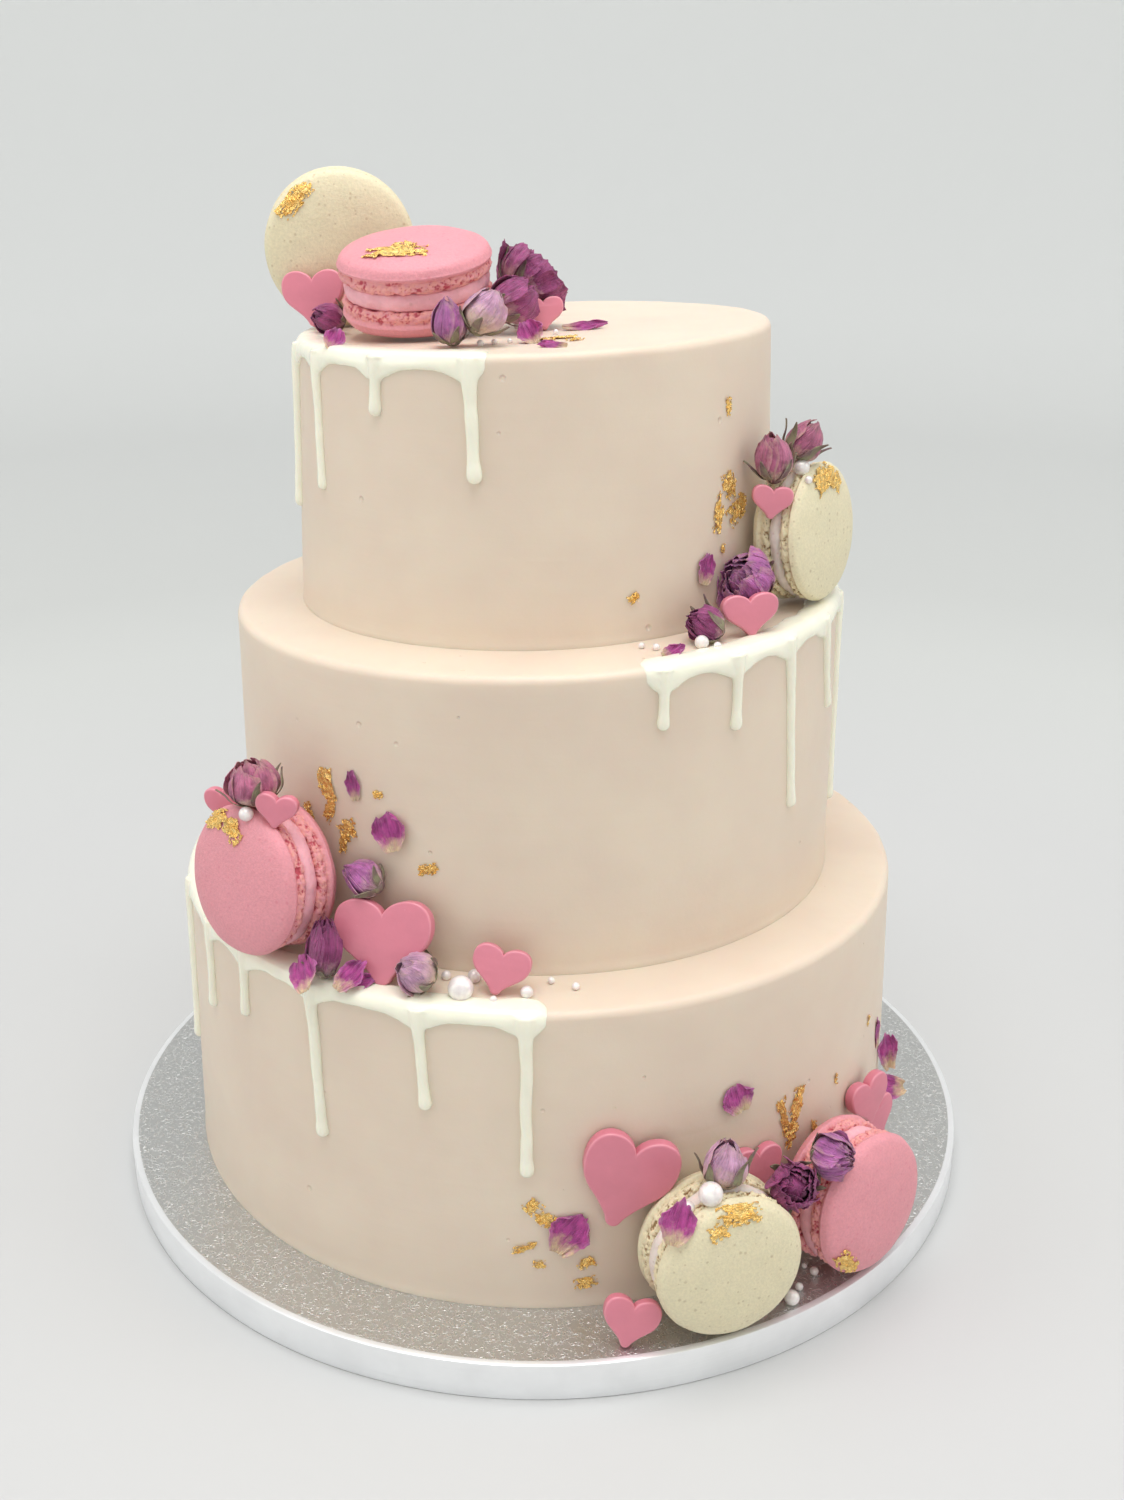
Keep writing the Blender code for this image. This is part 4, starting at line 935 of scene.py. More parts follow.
def tier_outline(tier):
    """Half the section of a tier: flat foot, sloping wall, rounded rim and flat top."""
    foot, rim, base, top = (tier[key] * MM for key in ("foot", "rim", "base", "top"))
    round_off, low, sole = RIM_ROUND * MM, base - 0.25 * MM, base + TIER_SOLE * MM
    outline = [(0.0, low), (foot * 0.9, low), (foot + 0.1 * MM, low),
               (foot + 0.25 * MM, base + 0.5 * MM), (foot, sole)]
    loops = 30
    for index in range(1, loops + 1):
        share = index / loops
        outline.append((foot + (rim - foot) * share, sole + (top - round_off - sole) * share))
    for index in range(1, 7):
        turn = math.radians(15.0 * index)
        outline.append((rim - round_off * (1.0 - math.cos(turn)),
                        top - round_off * (1.0 - math.sin(turn))))
    inner = rim - round_off
    for share in (0.985, 0.96, 0.93, 0.90, 0.86, 0.82, 0.78, 0.72, 0.66, 0.58, 0.48, 0.34, 0.18,
                  0.0):
        outline.append((inner * share, top))
    return outline


def weigh(piece, name, test):
    """Add a vertex group whose weights come from a test on each vertex."""
    group = piece.vertex_groups.new(name=name)
    for vertex in piece.data.vertices:
        group.add([vertex.index], test(vertex.co), "REPLACE")


def make_tier(name):
    """One tier of buttercream: scraped smooth, a little uneven and with a soft, wavy rim."""
    tier = TIERS[name]
    piece = turned(tier_outline(tier), ROUND_STEPS)
    base, top, rim = tier["base"] * MM, tier["top"] * MM, tier["rim"] * MM
    weigh(piece, "skin", lambda co: min(1.0, max(0.0, (co.z - base - 1.0 * MM) / (6.0 * MM))))
    weigh(piece, "rim", lambda co: max(0.0, 1.0 - (Vector((math.hypot(co.x, co.y), co.z))
                                                   - Vector((rim, top))).length / (6.5 * MM)))
    for vertex in piece.data.vertices:
        share = (vertex.co.z - base) / (top - base)
        tilt = tier["foot_tilt"] * (1.0 - share) + tier["top_tilt"] * share
        vertex.co += Vector((tier["centre"][0] * MM, tier["centre"][1] * MM, tilt * vertex.co.x))
    uneven = bpy.context.scene.cake_buttercream.uneven
    wave(piece, 0.034, uneven, "skin")
    wave(piece, 0.012, uneven * 0.35, "skin")
    wave(piece, 0.0065, uneven * 0.9, "rim")
    painted(piece, buttercream_surface())
    return dress(piece, "buttercream_" + name, [name], 60.0)


# ---------------------------------------------------------------------------------------------
# White chocolate
# ---------------------------------------------------------------------------------------------


def chocolate_band(name):
    """The pool on the rim: thin on top, lapping over the edge in scallops between the drips."""
    tier, plan = TIERS[name], DRIPS[name]
    rim, top = tier["rim"] * MM, tier["top"] * MM
    lap = top - LAP_DEPTH * MM
    section = [(rim - POOL_WIDTH * MM, top - 1.0 * MM), (rim - POOL_WIDTH * MM, top + 0.25 * MM),
               (rim - (POOL_WIDTH - 0.9) * MM, top + 0.75 * MM), (rim - 5.4 * MM, top + 1.0 * MM),
               (rim - 3.0 * MM, top + 1.0 * MM), (rim - 1.2 * MM, top + 0.75 * MM),
               (rim + 0.2 * MM, top - 0.2 * MM), (rim + 0.9 * MM, top - 1.6 * MM),
               (rim + 1.2 * MM, top - 3.0 * MM), (rim + 1.15 * MM, lap + 1.0 * MM),
               (rim + 0.7 * MM, lap), (rim - 1.6 * MM, lap), (rim - 2.4 * MM, top - 2.6 * MM)]
    span = plan["end"] - plan["start"]
    piece = turned(section + section[:1], round(span), math.radians(span))
    take(piece)
    bpy.ops.object.mode_set(mode="EDIT")
    bpy.ops.mesh.select_all(action="SELECT")
    bpy.ops.mesh.fill_holes(sides=0)
    bpy.ops.mesh.normals_make_consistent(inside=False)
    start()
    middle = Vector((rim - 2.0 * MM, top - 1.6 * MM))
    for vertex in piece.data.vertices:
        angle = abs(math.degrees(math.atan2(vertex.co.y, vertex.co.x)))
        compass = angle + plan["start"]
        reach = math.hypot(vertex.co.x, vertex.co.y)
        near = min(abs((compass - run[0] + 180.0) % 360.0 - 180.0) for run in plan["runs"])
        near = math.radians(near) * rim / MM
        height = vertex.co.z
        if height < top - 3.4 * MM:
            height += (1.5 - 3.8 * math.exp(-(near / 6.0) ** 2)
                       + 0.5 * ripple_at(compass * 0.35, 3.0)) * MM
        if reach < rim - 5.8 * MM and height > top - 2.0 * MM:
            reach += (1.5 * ripple_at(compass * 0.22, 7.0)
                      + 0.5 * ripple_at(compass * 0.7, 9.0)) * MM
        ends = min(angle, span - angle) * math.radians(rim / MM) / 6.0
        size = math.sqrt(max(0.04, 1.0 - (1.0 - min(1.0, ends)) ** 2))
        flat = middle + (Vector((reach, height)) - middle) * size
        turn = math.radians(compass)
        x, y = flat.x * math.cos(turn), flat.x * math.sin(turn)
        vertex.co = Vector((x + tier["centre"][0] * MM, y + tier["centre"][1] * MM,
                            flat.y + tier["top_tilt"] * x))
    return piece


def chocolate_drip(name, rim_angle, tip_angle, length, width):
    """One run of white chocolate: a funnel at the rim, a thin strand and a round bead."""
    tier, half = TIERS[name], width / 2.0
    ease = min(1.0, length / 34.0)
    swells = [(0.0, 2.2), (1.2, 1.95), (4.2 * ease, 1.38), (9.0 * ease, 1.0),
              (max(0.5 * length, 9.5 * ease), 0.88), (length - 3.0 * half, 0.9),
              (length - 1.3 * half, 1.08), (length, 1.08)]
    count = max(16, round(length / 0.7))
    start()
    bpy.ops.curve.primitive_nurbs_path_add()
    line = bpy.context.object
    line.data.splines.clear()
    line.data.bevel_depth = half * MM
    line.data.bevel_resolution = 5
    line.data.use_fill_caps = True
    run = line.data.splines.new("POLY")
    run.points.add(count)
    for index, point in enumerate(run.points):
        depth = 0.8 + (length - 0.8) * math.sin(math.pi / 2.0 * index / count) ** 1.2
        share = depth / length
        swell = through(swells, depth) * (1.0 + 0.05 * ripple_at(depth * 0.13, rim_angle))
        left = length - depth
        tip = math.sqrt(max(0.0004, 1.0 - (1.0 - min(1.0, left / (1.05 * half))) ** 2))
        angle = (rim_angle + (tip_angle - rim_angle) * share
                 + 0.18 * ripple_at(depth * 0.08, rim_angle, 5.0))
        x = (tier["centre"][0] + tier["rim"] * math.cos(math.radians(angle))) * MM
        height = top_height(name, x) - depth * MM
        sunk = 0.85 * (swell - 1.0) * half if swell > 1.0 else 0.0
        proud = 0.12 * half - sunk if depth > 2.0 else -0.9 * half
        point.co = (*on_wall(name, angle, height, proud * MM), 1.0)
        point.radius = swell * tip
    bpy.ops.object.convert(target="MESH")
    return bpy.context.object


def make_chocolate(name):
    """All the white chocolate of one tier, fused into one smooth piece."""
    parts = [chocolate_band(name)]
    parts.extend(chocolate_drip(name, *run) for run in DRIPS[name]["runs"])
    piece = join(parts)
    apply_modifier(piece, "REMESH", mode="VOXEL", voxel_size=CHOCOLATE_GRAIN * MM,
                   adaptivity=0.0)
    apply_modifier(piece, "SMOOTH", factor=0.5, iterations=7)
    wave(piece, 0.009, 0.25 * MM)
    painted(piece, white_chocolate_surface())
    return dress(piece, "white_chocolate_" + name, [name], 80.0)


# ---------------------------------------------------------------------------------------------
# Macarons
# ---------------------------------------------------------------------------------------------


def shell_outline(radius, thick):
    """Half the section of a shell, facing up: smooth dome, ragged foot, flat underside."""
    outline = []
    for index in range(25):
        reach = math.sin(math.pi / 2.0 * index / 24.0)
        outline.append((reach * radius, through(DOME, reach) * thick))
    outline.append((0.996 * radius, 0.290 * thick))
    outline.append((0.980 * radius, 0.266 * thick))
    foot = [(0.0, 0.955), (0.12, 0.962), (0.35, 0.975), (0.6, 0.978), (0.85, 0.965), (1.0, 0.94)]
    for index in range(17):
        share = index / 16.0
        height = FOOT_HIGH + (FILLING_HALF + 0.006 - FOOT_HIGH) * share
        outline.append((through(foot, share) * radius, height * thick))
    outline.extend([(0.90 * radius, FILLING_HALF * thick), (0.5 * radius, FILLING_HALF * thick),
                    (0.0, FILLING_HALF * thick)])
    return outline


def macaron_shell(radius, thick, matrix, ragged):
    """One shell at its place, with the depth of its foot's pits kept as an attribute for the
    painted shade in them.
    """
    piece = turned(shell_outline(radius, thick), 360)
    low, high = FILLING_HALF * thick, FOOT_HIGH * thick
    edge = 0.86 * radius

    def in_foot(co):
        if math.hypot(co.x, co.y) < edge:
            return 0.0
        return min(1.0, max(0.0, (high + 0.5 * MM - co.z) / (0.6 * MM)))

    weigh(piece, "foot", in_foot)
    weigh(piece, "dome", lambda co: 1.0 if co.z > low + 0.2 * MM else 0.0)
    foot = [in_foot(vertex.co) for vertex in piece.data.vertices]
    put(piece, matrix)
    wave(piece, 0.014, 0.7 * MM, "dome", middle=0.95)
    before = [(vertex.co.copy(), vertex.normal.copy()) for vertex in piece.data.vertices]
    wave(piece, 0.0022, 1.3 * MM * ragged, "foot", middle=0.60)
    wave(piece, 0.0008, 0.85 * MM * ragged, "foot", "VORONOI_F1", 0.40)
    # The pit depth kept here drives the painted shade in the foot's pits.
    for name, values in (("foot_share", foot), ("pit_depth", None)):
        kept = piece.data.attributes.new(name, "FLOAT", "POINT")
        for index, vertex in enumerate(piece.data.vertices):
            place, normal = before[index]
            deep = 0.5 - (vertex.co - place).dot(normal) / (0.8 * MM * ragged)
            kept.data[index].value = values[index] if values else min(1.0, max(0.0, deep))
    return piece


def macaron_filling(radius, thick, matrix):
    """The filling, a soft cushion that swells a little between the shells."""
    half, rim = FILLING_HALF * thick - 0.1 * MM, FILLING_RADIUS * radius
    outline = [(0.0, half)]
    for index in range(17):
        share = 1.0 - index / 8.0
        outline.append((rim * (1.0 - 0.045 * share * share), half * share))
    outline.append((0.0, -half))
    piece = turned(outline, 220)
    weigh(piece, "side", lambda co: 1.0 if math.hypot(co.x, co.y) > 0.7 * radius
          and abs(co.z) < half - 0.05 * MM else 0.0)
    put(piece, matrix)
    wave(piece, 0.007, 1.6 * MM, "side", middle=0.42)
    wave(piece, 0.0025, 0.6 * MM, "side", middle=0.45)
    return piece


def make_macaron(name):
    """Two shells with the filling between them."""
    kind, at, heading, rise, radius, thick, ragged = MACARONS[name]
    radius, thick = radius * MM, radius * MM * thick
    matrix = frame_of(Vector(at) * MM, heading, rise)
    turn_over = Matrix.Rotation(math.pi, 4, "X")
    outer = painted(macaron_shell(radius, thick, matrix, ragged), shell_surface(kind))
    dress(outer, name + "_shell_outer", [name + "_outer"], 70.0)
    inner = painted(macaron_shell(radius, thick, matrix @ turn_over, ragged), shell_surface(kind))
    dress(inner, name + "_shell_inner", [name + "_inner"], 70.0)
    cream = painted(macaron_filling(radius, thick, matrix), filling_surface(kind))
    dress(cream, name + "_cream", [name + "_filling"], 70.0)


# ---------------------------------------------------------------------------------------------
# Chocolate hearts
# ---------------------------------------------------------------------------------------------


def heart_outline(curve, width, tall):
    """Bend a round curve into a heart: two full lobes, hollow sides and a blunt tip."""
    line = curve.splines[0]
    line.bezier_points.add(4)
    half = [((0.5, 0.160), (0.5, 0.490), (0.5, 0.020)),
            ((0.335, -0.155), (0.440, -0.070), (0.190, -0.272)),
            ((0.085, -0.410), (0.110, -0.350), (0.068, -0.450))]
    plan = [((0.0, 0.265), (-0.090, 0.455), (0.090, 0.455))] + half
    plan.append(((0.0, -0.462), (0.024, -0.462), (-0.024, -0.462)))
    for spots in reversed(half):
        plan.append(tuple((-x, y) for x, y in (spots[0], spots[2], spots[1])))
    for point, spots in zip(line.bezier_points, plan):
        point.handle_left_type = point.handle_right_type = "FREE"
        for part, (x, y) in zip(("co", "handle_left", "handle_right"), spots):
            setattr(point, part, (x * width, y * width * tall / 0.94, 0.0))


def make_heart(name):
    """One moulded chocolate heart: a flat slab with softened, slightly chipped edges."""
    x, y, z, heading, rise, turn, size, tall = HEARTS[name]
    thick = HEART_THICK * (0.75 + 0.25 * size / 30.0) * MM
    edge = HEART_EDGE * MM
    start()
    bpy.ops.curve.primitive_bezier_circle_add(radius=size * MM / 2.0)
    line = bpy.context.object
    heart_outline(line.data, size * MM, tall)
    line.data.resolution_u = 26
    line.data.dimensions = "2D"
    line.data.fill_mode = "BOTH"
    line.data.extrude = thick / 2.0 - edge
    line.data.bevel_depth = edge
    line.data.bevel_resolution = 4
    line.data.offset = -edge
    bpy.ops.object.convert(target="MESH")
    piece = bpy.context.object
    bpy.ops.object.mode_set(mode="EDIT")
    bpy.ops.mesh.select_all(action="SELECT")
    bpy.ops.mesh.remove_doubles(threshold=0.01 * MM)
    bpy.ops.mesh.normals_make_consistent(inside=False)
    start()
    # The band along the rounded edges of both faces where the colour turns paler.
    pale_band_at, pale_band_over = thick / 2.0 - 0.45 * edge, 0.55 * edge
    rim = [min(1.0, max(0.0, 1.0 - abs(abs(vertex.co.z) - pale_band_at) / pale_band_over))
           for vertex in piece.data.vertices]
    put(piece, frame_of(Vector((x, y, z)) * MM, heading, rise, turn))
    wave(piece, 0.004, 0.22 * MM)
    kept = piece.data.attributes.new("edge", "FLOAT", "POINT")
    for index, value in enumerate(rim):
        kept.data[index].value = value
    painted(piece, pink_chocolate_surface())
    return dress(piece, name + "_chocolate", [name], 45.0)


# ---------------------------------------------------------------------------------------------
# Rosebuds and petals
# ---------------------------------------------------------------------------------------------


def rose_petal(length, width, opening, layer, turn, span, draw):
    """One petal of a bud, wrapped round it with one edge over its neighbour."""
    piece = sheet(16, 20)
    seed = draw.uniform(0.0, 60.0)
    lean = opening * draw.uniform(0.75, 1.2) * layer ** 3
    tall = draw.uniform(0.90, 1.0)
    for vertex in piece.data.vertices:
        across, along = vertex.co.x * 2.0, vertex.co.y + 0.5
        ragged = ((0.04 + 0.14 * opening) * ripple_at(across * 3.0, seed)
                  + (0.02 + 0.07 * opening) * ripple_at(across * 11.0, seed, 4.0))
        high = along * (tall - 0.24 * across * across * along + ragged * along)
        hug = through(BUD_OUTLINE, min(1.0, high)) * width / 2.0
        open_out = lean * high ** 2.2 * width * 0.62
        lap = width * (0.085 * max(0.0, across) ** 3 - 0.045 * max(0.0, -across) ** 2)
        curl = width * 0.06 * max(0.0, abs(across) - 0.72) / 0.28 * high * (0.6 + 2.4 * lean)
        folds = (0.055 * ripple_at(across * 1.9, along * 0.9, seed)
                 + 0.034 * ripple_at(across * 5.0, along * 1.5, seed + 9.0)
                 + (0.012 + 0.030 * opening) * ripple_at(across * 9.0, along * 8.0, seed)) * width
        reach = hug * layer + open_out + lap + curl + folds * (0.30 + high)
        spread = span * (0.62 + 0.38 * math.sin(math.pi * min(1.0, high * 0.85 + 0.1)))
        angle = turn + across * spread + 0.8 * high * (1.0 - opening)
        vertex.co = Vector((reach * math.cos(angle), reach * math.sin(angle),
                            (high - 0.5) * length - 0.35 * open_out))
    apply_modifier(piece, "SOLIDIFY", thickness=0.2 * MM, offset=0.0)
    return piece


def sepal(length, width, reach, turn, draw):
    """One narrow sepal that hugs the foot of the bud and then stands free."""
    piece = sheet(4, 14)
    sway = draw.uniform(-0.5, 0.5)
    free = draw.uniform(0.2, 0.75)
    broad = 1.5 if reach < 0.7 * length else 1.9
    for vertex in piece.data.vertices:
        across, along = vertex.co.x * 2.0, vertex.co.y + 0.5
        share = min(0.45, along * reach / length)
        hug = through(BUD_OUTLINE, share) * width / 2.0 + 0.05 * width + 0.3 * MM
        loose = max(0.0, along - 0.30)
        out = (hug * min(1.0, 0.55 + 3.0 * along) + loose * loose * reach * free
               + 0.4 * MM * abs(across) * along)
        half = (broad * (1.0 - along) ** 0.8 * (0.8 + 0.6 * along) + 0.12) * MM
        angle = turn + across * half / max(out, 0.001) + sway * loose
        vertex.co = Vector((out * math.cos(angle), out * math.sin(angle),
                            -0.5 * length + along * reach * (1.0 - 0.12 * along)))
    apply_modifier(piece, "SOLIDIFY", thickness=0.25 * MM, offset=0.0)
    return piece


def squashed_ball(width, height, lift):
    """A rough egg round the bud's axis."""
    piece = ball(0.5, 20)
    for vertex in piece.data.vertices:
        rough = 1.0 + 0.06 * ripple_at(*(vertex.co * 6.0))
        vertex.co = Vector((vertex.co.x * width * rough, vertex.co.y * width * rough,
                            vertex.co.z * height + lift))
    return piece


def make_rosebud(name):
    """One dried rosebud: petals wrapped in layers over a core, with its calyx and sepals."""
    x, y, z, heading, rise, length, width, opening, reach, kind = ROSEBUDS[name]
    length, width, reach = length * MM, width * MM, reach * MM
    draw = random.Random(name)
    tones = bpy.context.scene.cake_flowers
    tone = tuple(getattr(tones, kind))
    foot = screen(214, 172, 172) if kind in ("violet", "dark") else screen(228, 198, 172)
    rim = tuple(value * 0.35 for value in tone) if kind == "dark" else screen(206, 172, 152)
    foot_reach = 0.62 if kind == "pale" else 0.38
    petals = flower_surface("dried rose " + kind, tone, foot, foot_reach, rim, 0.55)
    core = squashed_ball(width * 0.70, length * (0.86 - 0.3 * opening), -0.05 * length)
    parts = [painted(core, petals)]
    layers = [(1.0, 5, 0.95), (0.86, 5, 0.95), (0.66, 4, 1.0)]
    if opening < 0.3:
        layers = [(1.0, 3, 1.35), (0.85, 3, 1.30)]
    elif opening > 0.7:
        layers = [(1.05, 6, 0.8), (0.9, 5, 0.9), (0.74, 5, 0.9), (0.52, 4, 1.0)]
    for layer, count, span in layers:
        first = draw.uniform(0.0, math.tau)
        for index in range(count):
            turn = first + math.tau * index / count + draw.uniform(-0.12, 0.12)
            petal = rose_petal(length, width, opening, layer, turn, span, draw)
            parts.append(painted(petal, petals))
    calyx = squashed_ball(width * 0.46, length * 0.22, -0.46 * length)
    parts.append(painted(calyx, sepal_surface()))
    first = draw.uniform(0.0, math.tau)
    for index in range(5):
        turn = first + math.tau * index / 5.0 + draw.uniform(-0.2, 0.2)
        stretch = (reach + 1.5 * MM) * draw.uniform(0.7, 1.0)
        parts.append(painted(sepal(length, width, stretch, turn, draw), sepal_surface()))
    piece = join(parts)
    put(piece, frame_of(Vector((x, y, z)) * MM, heading, rise, draw.uniform(0.0, 90.0)))
    return dress(piece, name + "_dried_rose", [name], 60.0)


def dried_petal(matrix, width, length, curl, seed):
    """One loose petal: thin, wavy and ragged, narrow at its pale foot."""
    piece = sheet(18, 20)
    draw = random.Random(seed)
    shift = draw.uniform(0.0, 60.0)
    for vertex in piece.data.vertices:
        across, along = vertex.co.x * 2.0, vertex.co.y + 0.5
        spread = 0.30 + 0.70 * math.sin(math.pi * min(1.0, along * 0.74 + 0.02)) ** 0.8
        spread *= 1.0 - 0.30 * max(0.0, along - 0.78) / 0.22 * abs(across)
        side = shift + (4.0 if across > 0.0 else 0.0)
        spread *= 1.0 + 0.16 * ripple_at(along * 4.5, side) + 0.09 * ripple_at(along * 14.0, side)
        tip = 1.0 - 0.22 * across * across * along
        tip += 0.16 * ripple_at(across * 2.6, shift + 5.0) * along
        tip += 0.07 * ripple_at(across * 10.0, shift + 8.0) * along
        rise = 0.5 * across * across + (along - 0.5) ** 2 - 0.3
        rise += 0.12 * math.sin(5.0 * across + 3.0 * along) * along
        rise += 0.45 * ripple_at(across * 1.7, along * 2.0, shift)
        rise += 0.22 * ripple_at(across * 4.5, along * 3.0, shift)
        rise += 0.9 * max(0.0, abs(across) - 0.6) * ripple_at(along * 5.0, side, 3.0)
        vertex.co = Vector((0.5 * across * spread * width, (along * tip - 0.5) * length,
                            rise * curl)) * MM
    apply_modifier(piece, "SOLIDIFY", thickness=0.2 * MM, offset=0.0)
    put(piece, matrix)
    return piece


def petal_surface():
    """The surface of the loose petals."""
    tones = bpy.context.scene.cake_flowers
    return flower_surface("dried petal", tuple(tones.petal), tuple(tones.cream), 0.42,
                          screen(218, 160, 200), 0.5)


def make_petal(name):
    """One of the large loose petals."""
    x, y, z, heading, rise, turn, width, length, curl = PETALS[name]
    matrix = frame_of(Vector((x, y, z)) * MM, heading, rise, turn)
    piece = painted(dried_petal(matrix, width, length, curl, name), petal_surface())
    return dress(piece, name + "_dried", [name], 70.0)


def make_small_petals(name):
    """The small petals that lie flat on one tier."""
    parts = []
    for x, y, width, length, turn, curl, rise in TOP_PETALS.get(name, []):
        stand = math.cos(math.radians(rise)) * abs(math.cos(math.radians(turn)))
        lift = 0.35 * curl + 0.36 * length * stand
        place = Vector((x * MM, y * MM, top_height(name, x * MM) + lift * MM))
        matrix = frame_of(place, -90.0, rise, turn)
        parts.append(dried_petal(matrix, width, length, curl, f"{name}{x}"))
    for angle, height, width, length, turn, curl in WALL_PETALS.get(name, []):
        place = on_wall(name, angle, height * MM, 0.35 * curl * MM)
        matrix = frame_of(place, angle, 0.0, turn)
        parts.append(dried_petal(matrix, width, length, curl, f"{name}{angle}"))
    piece = painted(join(parts), petal_surface())
    return dress(piece, "small_petals_" + name, [name], 70.0)


# ---------------------------------------------------------------------------------------------
# Pearls and gold leaf
# ---------------------------------------------------------------------------------------------


def pearl(place, radius):
    """A sugar pearl, not quite round."""
    piece = ball(radius, 32 if radius > 1.5 * MM else 24)
    for vertex in piece.data.vertices:
        vertex.co *= 1.0 + 0.012 * ripple_at(*(vertex.co / radius * 1.6 + place * 900.0))
    put(piece, Matrix.Translation(place))
    return piece


def make_ledge_pearls(name):
    """The pearls that lie on one tier or on the board."""
    parts = []
    for x, y, radius in LEDGE_PEARLS[name]:
        height = top_height(name, x * MM) + 0.8 * radius * MM
        parts.append(pearl(Vector((x * MM, y * MM, height)), radius * MM))
    piece = painted(join(parts), pearl_surface())
    return dress(piece, "pearls_" + name, [name], 80.0)


def make_shell_pearls(name):
    """The pearls that rest on one macaron's outer shell."""
    tree = tree_of(*(bpy.data.objects[name + part]
                     for part in ("_shell_outer", "_cream", "_shell_inner")))
    parts = []
    for x, y, radius in SHELL_PEARLS[name]:
        spot = tree.ray_cast(Vector((x * MM, y * MM, 1.0)), Vector((0.0, 0.0, -1.0)))[0]
        if spot is None:
            raise RuntimeError("a pearl finds no shell under it on " + name)
        parts.append(pearl(spot + Vector((0.0, 0.0, 0.8 * radius * MM)), radius * MM))
    piece = painted(join(parts), pearl_surface())
    return dress(piece, "pearls_" + name, [name + "_outer"], 80.0)


def leaf(matrix, width, length, tree, seed):
    """A flake of gold leaf: torn, crumpled and pressed on the surface under it."""
    cells = 20 if max(width, length) > 5.0 else 12
    piece = sheet(cells, cells)
    draw = random.Random(seed)
    shift = draw.uniform(0.0, 90.0)

    def torn(face):
        centre = face.center * 2.0
        edge = max(abs(centre.x), abs(centre.y)) * 0.45 + centre.length * 0.35
        gaps = (ripple_at(centre.x * 2.0, centre.y * 2.0, shift)
                + 0.7 * ripple_at(centre.x * 4.6, centre.y * 4.6, shift))
        return edge + 0.70 * gaps > 0.72

    edit(piece, torn)
    bpy.ops.mesh.delete(type="FACE")
    start()
    for vertex in piece.data.vertices:
        x, y = vertex.co.x, vertex.co.y
        x += 0.05 * ripple_at(x * 9.0, y * 9.0, shift + 3.0)
        y += 0.05 * ripple_at(x * 9.0, y * 9.0, shift + 6.0)
        vertex.co = Vector((x * width * 1.15 * MM, y * length * 1.15 * MM, 0.0))
    put(piece, matrix)
    for vertex in piece.data.vertices:
        spot, normal, _, _ = tree.find_nearest(vertex.co)
        rough = Vector(vertex.co) / MM
        lift = (0.34 + 0.55 * ripple_at(*(rough * 0.55)) + 0.32 * ripple_at(*(rough * 1.5))
                + 0.20 * draw.uniform(-1.0, 1.0))
        vertex.co = spot + normal * max(0.08, lift) * MM
    apply_modifier(piece, "SOLIDIFY", thickness=0.07 * MM, offset=1.0)
    return piece


def make_wall_gold(name):
    """The gold leaf on one tier."""
    tree = tree_of(bpy.data.objects["buttercream_" + name])
    parts = []
    for index, (angle, height, width, length, turn) in enumerate(WALL_GOLD[name]):
        place = on_wall(name, angle, height * MM)
        parts.append(leaf(frame_of(place, angle, 0.0, turn), width, length, tree, f"{name}{index}"))
    if name == "tier_3":
        for index, (x, y, width, length, turn) in enumerate(TOP_GOLD):
            place = Vector((x * MM, y * MM, top_height(name, x * MM)))
            matrix = frame_of(place, -90.0, 89.0, turn)
            parts.append(leaf(matrix, width, length, tree, f"top{index}"))
    piece = painted(join(parts), gold_surface())
    return dress(piece, "gold_leaf_" + name, [name], 30.0)


def make_shell_gold(name):
    """The gold leaf on one macaron's outer shell."""
    _, at, heading, rise, _, _, _ = MACARONS[name]
    tree = tree_of(bpy.data.objects[name + "_shell_outer"])
    matrix = frame_of(Vector(at) * MM, heading, rise)
    down = matrix.to_3x3() @ Vector((0.0, 0.0, -1.0))
    parts = []
    for index, (right, up, width, length, turn) in enumerate(SHELL_GOLD[name]):
        spot, normal, _, _ = tree.ray_cast(matrix @ Vector((right * MM, up * MM, 0.1)), down)
        lean = normal.to_track_quat("Z", "Y").to_matrix().to_4x4()
        upward = lean.inverted().to_3x3() @ (matrix.to_3x3() @ Vector((0.0, 1.0, 0.0)))
        swing = math.atan2(-upward.x, upward.y) + math.radians(turn)
        place = Matrix.Translation(spot) @ lean @ Matrix.Rotation(swing, 4, "Z")
        parts.append(leaf(place, width, length, tree, f"{name}{index}"))
    piece = painted(join(parts), gold_surface())
    return dress(piece, "gold_leaf_" + name, [name + "_outer"], 30.0)


# ---------------------------------------------------------------------------------------------
# Stage
# ---------------------------------------------------------------------------------------------


def make_floor():
    """A wide floor that sweeps up into the backdrop all round."""
    outline = [(0.0, 0.0), (0.25, 0.0), (0.5, 0.0), (0.9, 0.0), (1.5, 0.0)]
    for index in range(1, 13):
        turn = math.radians(7.5 * index)
        outline.append((1.5 + 0.8 * math.sin(turn), 0.8 * (1.0 - math.cos(turn))))
    outline.append((2.3, 1.5))
    piece = turned(outline, 128)
    if piece.data.polygons[0].normal.z < 0.0:
        edit(piece)
        bpy.ops.mesh.select_all(action="SELECT")
        bpy.ops.mesh.flip_normals()
    take(piece)
    bpy.ops.object.shade_smooth()
    piece.name = "pale_floor"
    painted(piece, stage_surface())


def make_light(name, place, aim, size, power):
    """A soft square light that the camera doesn't see."""
    start()
    bpy.ops.object.light_add(type="AREA", location=place)
    light = bpy.context.object
    light.name = name
    light.rotation_euler = (Vector(aim) - Vector(place)).to_track_quat("-Z", "Y").to_euler()
    light.data.shape = "SQUARE"
    light.data.size = size
    light.data.energy = power
    light.visible_camera = False


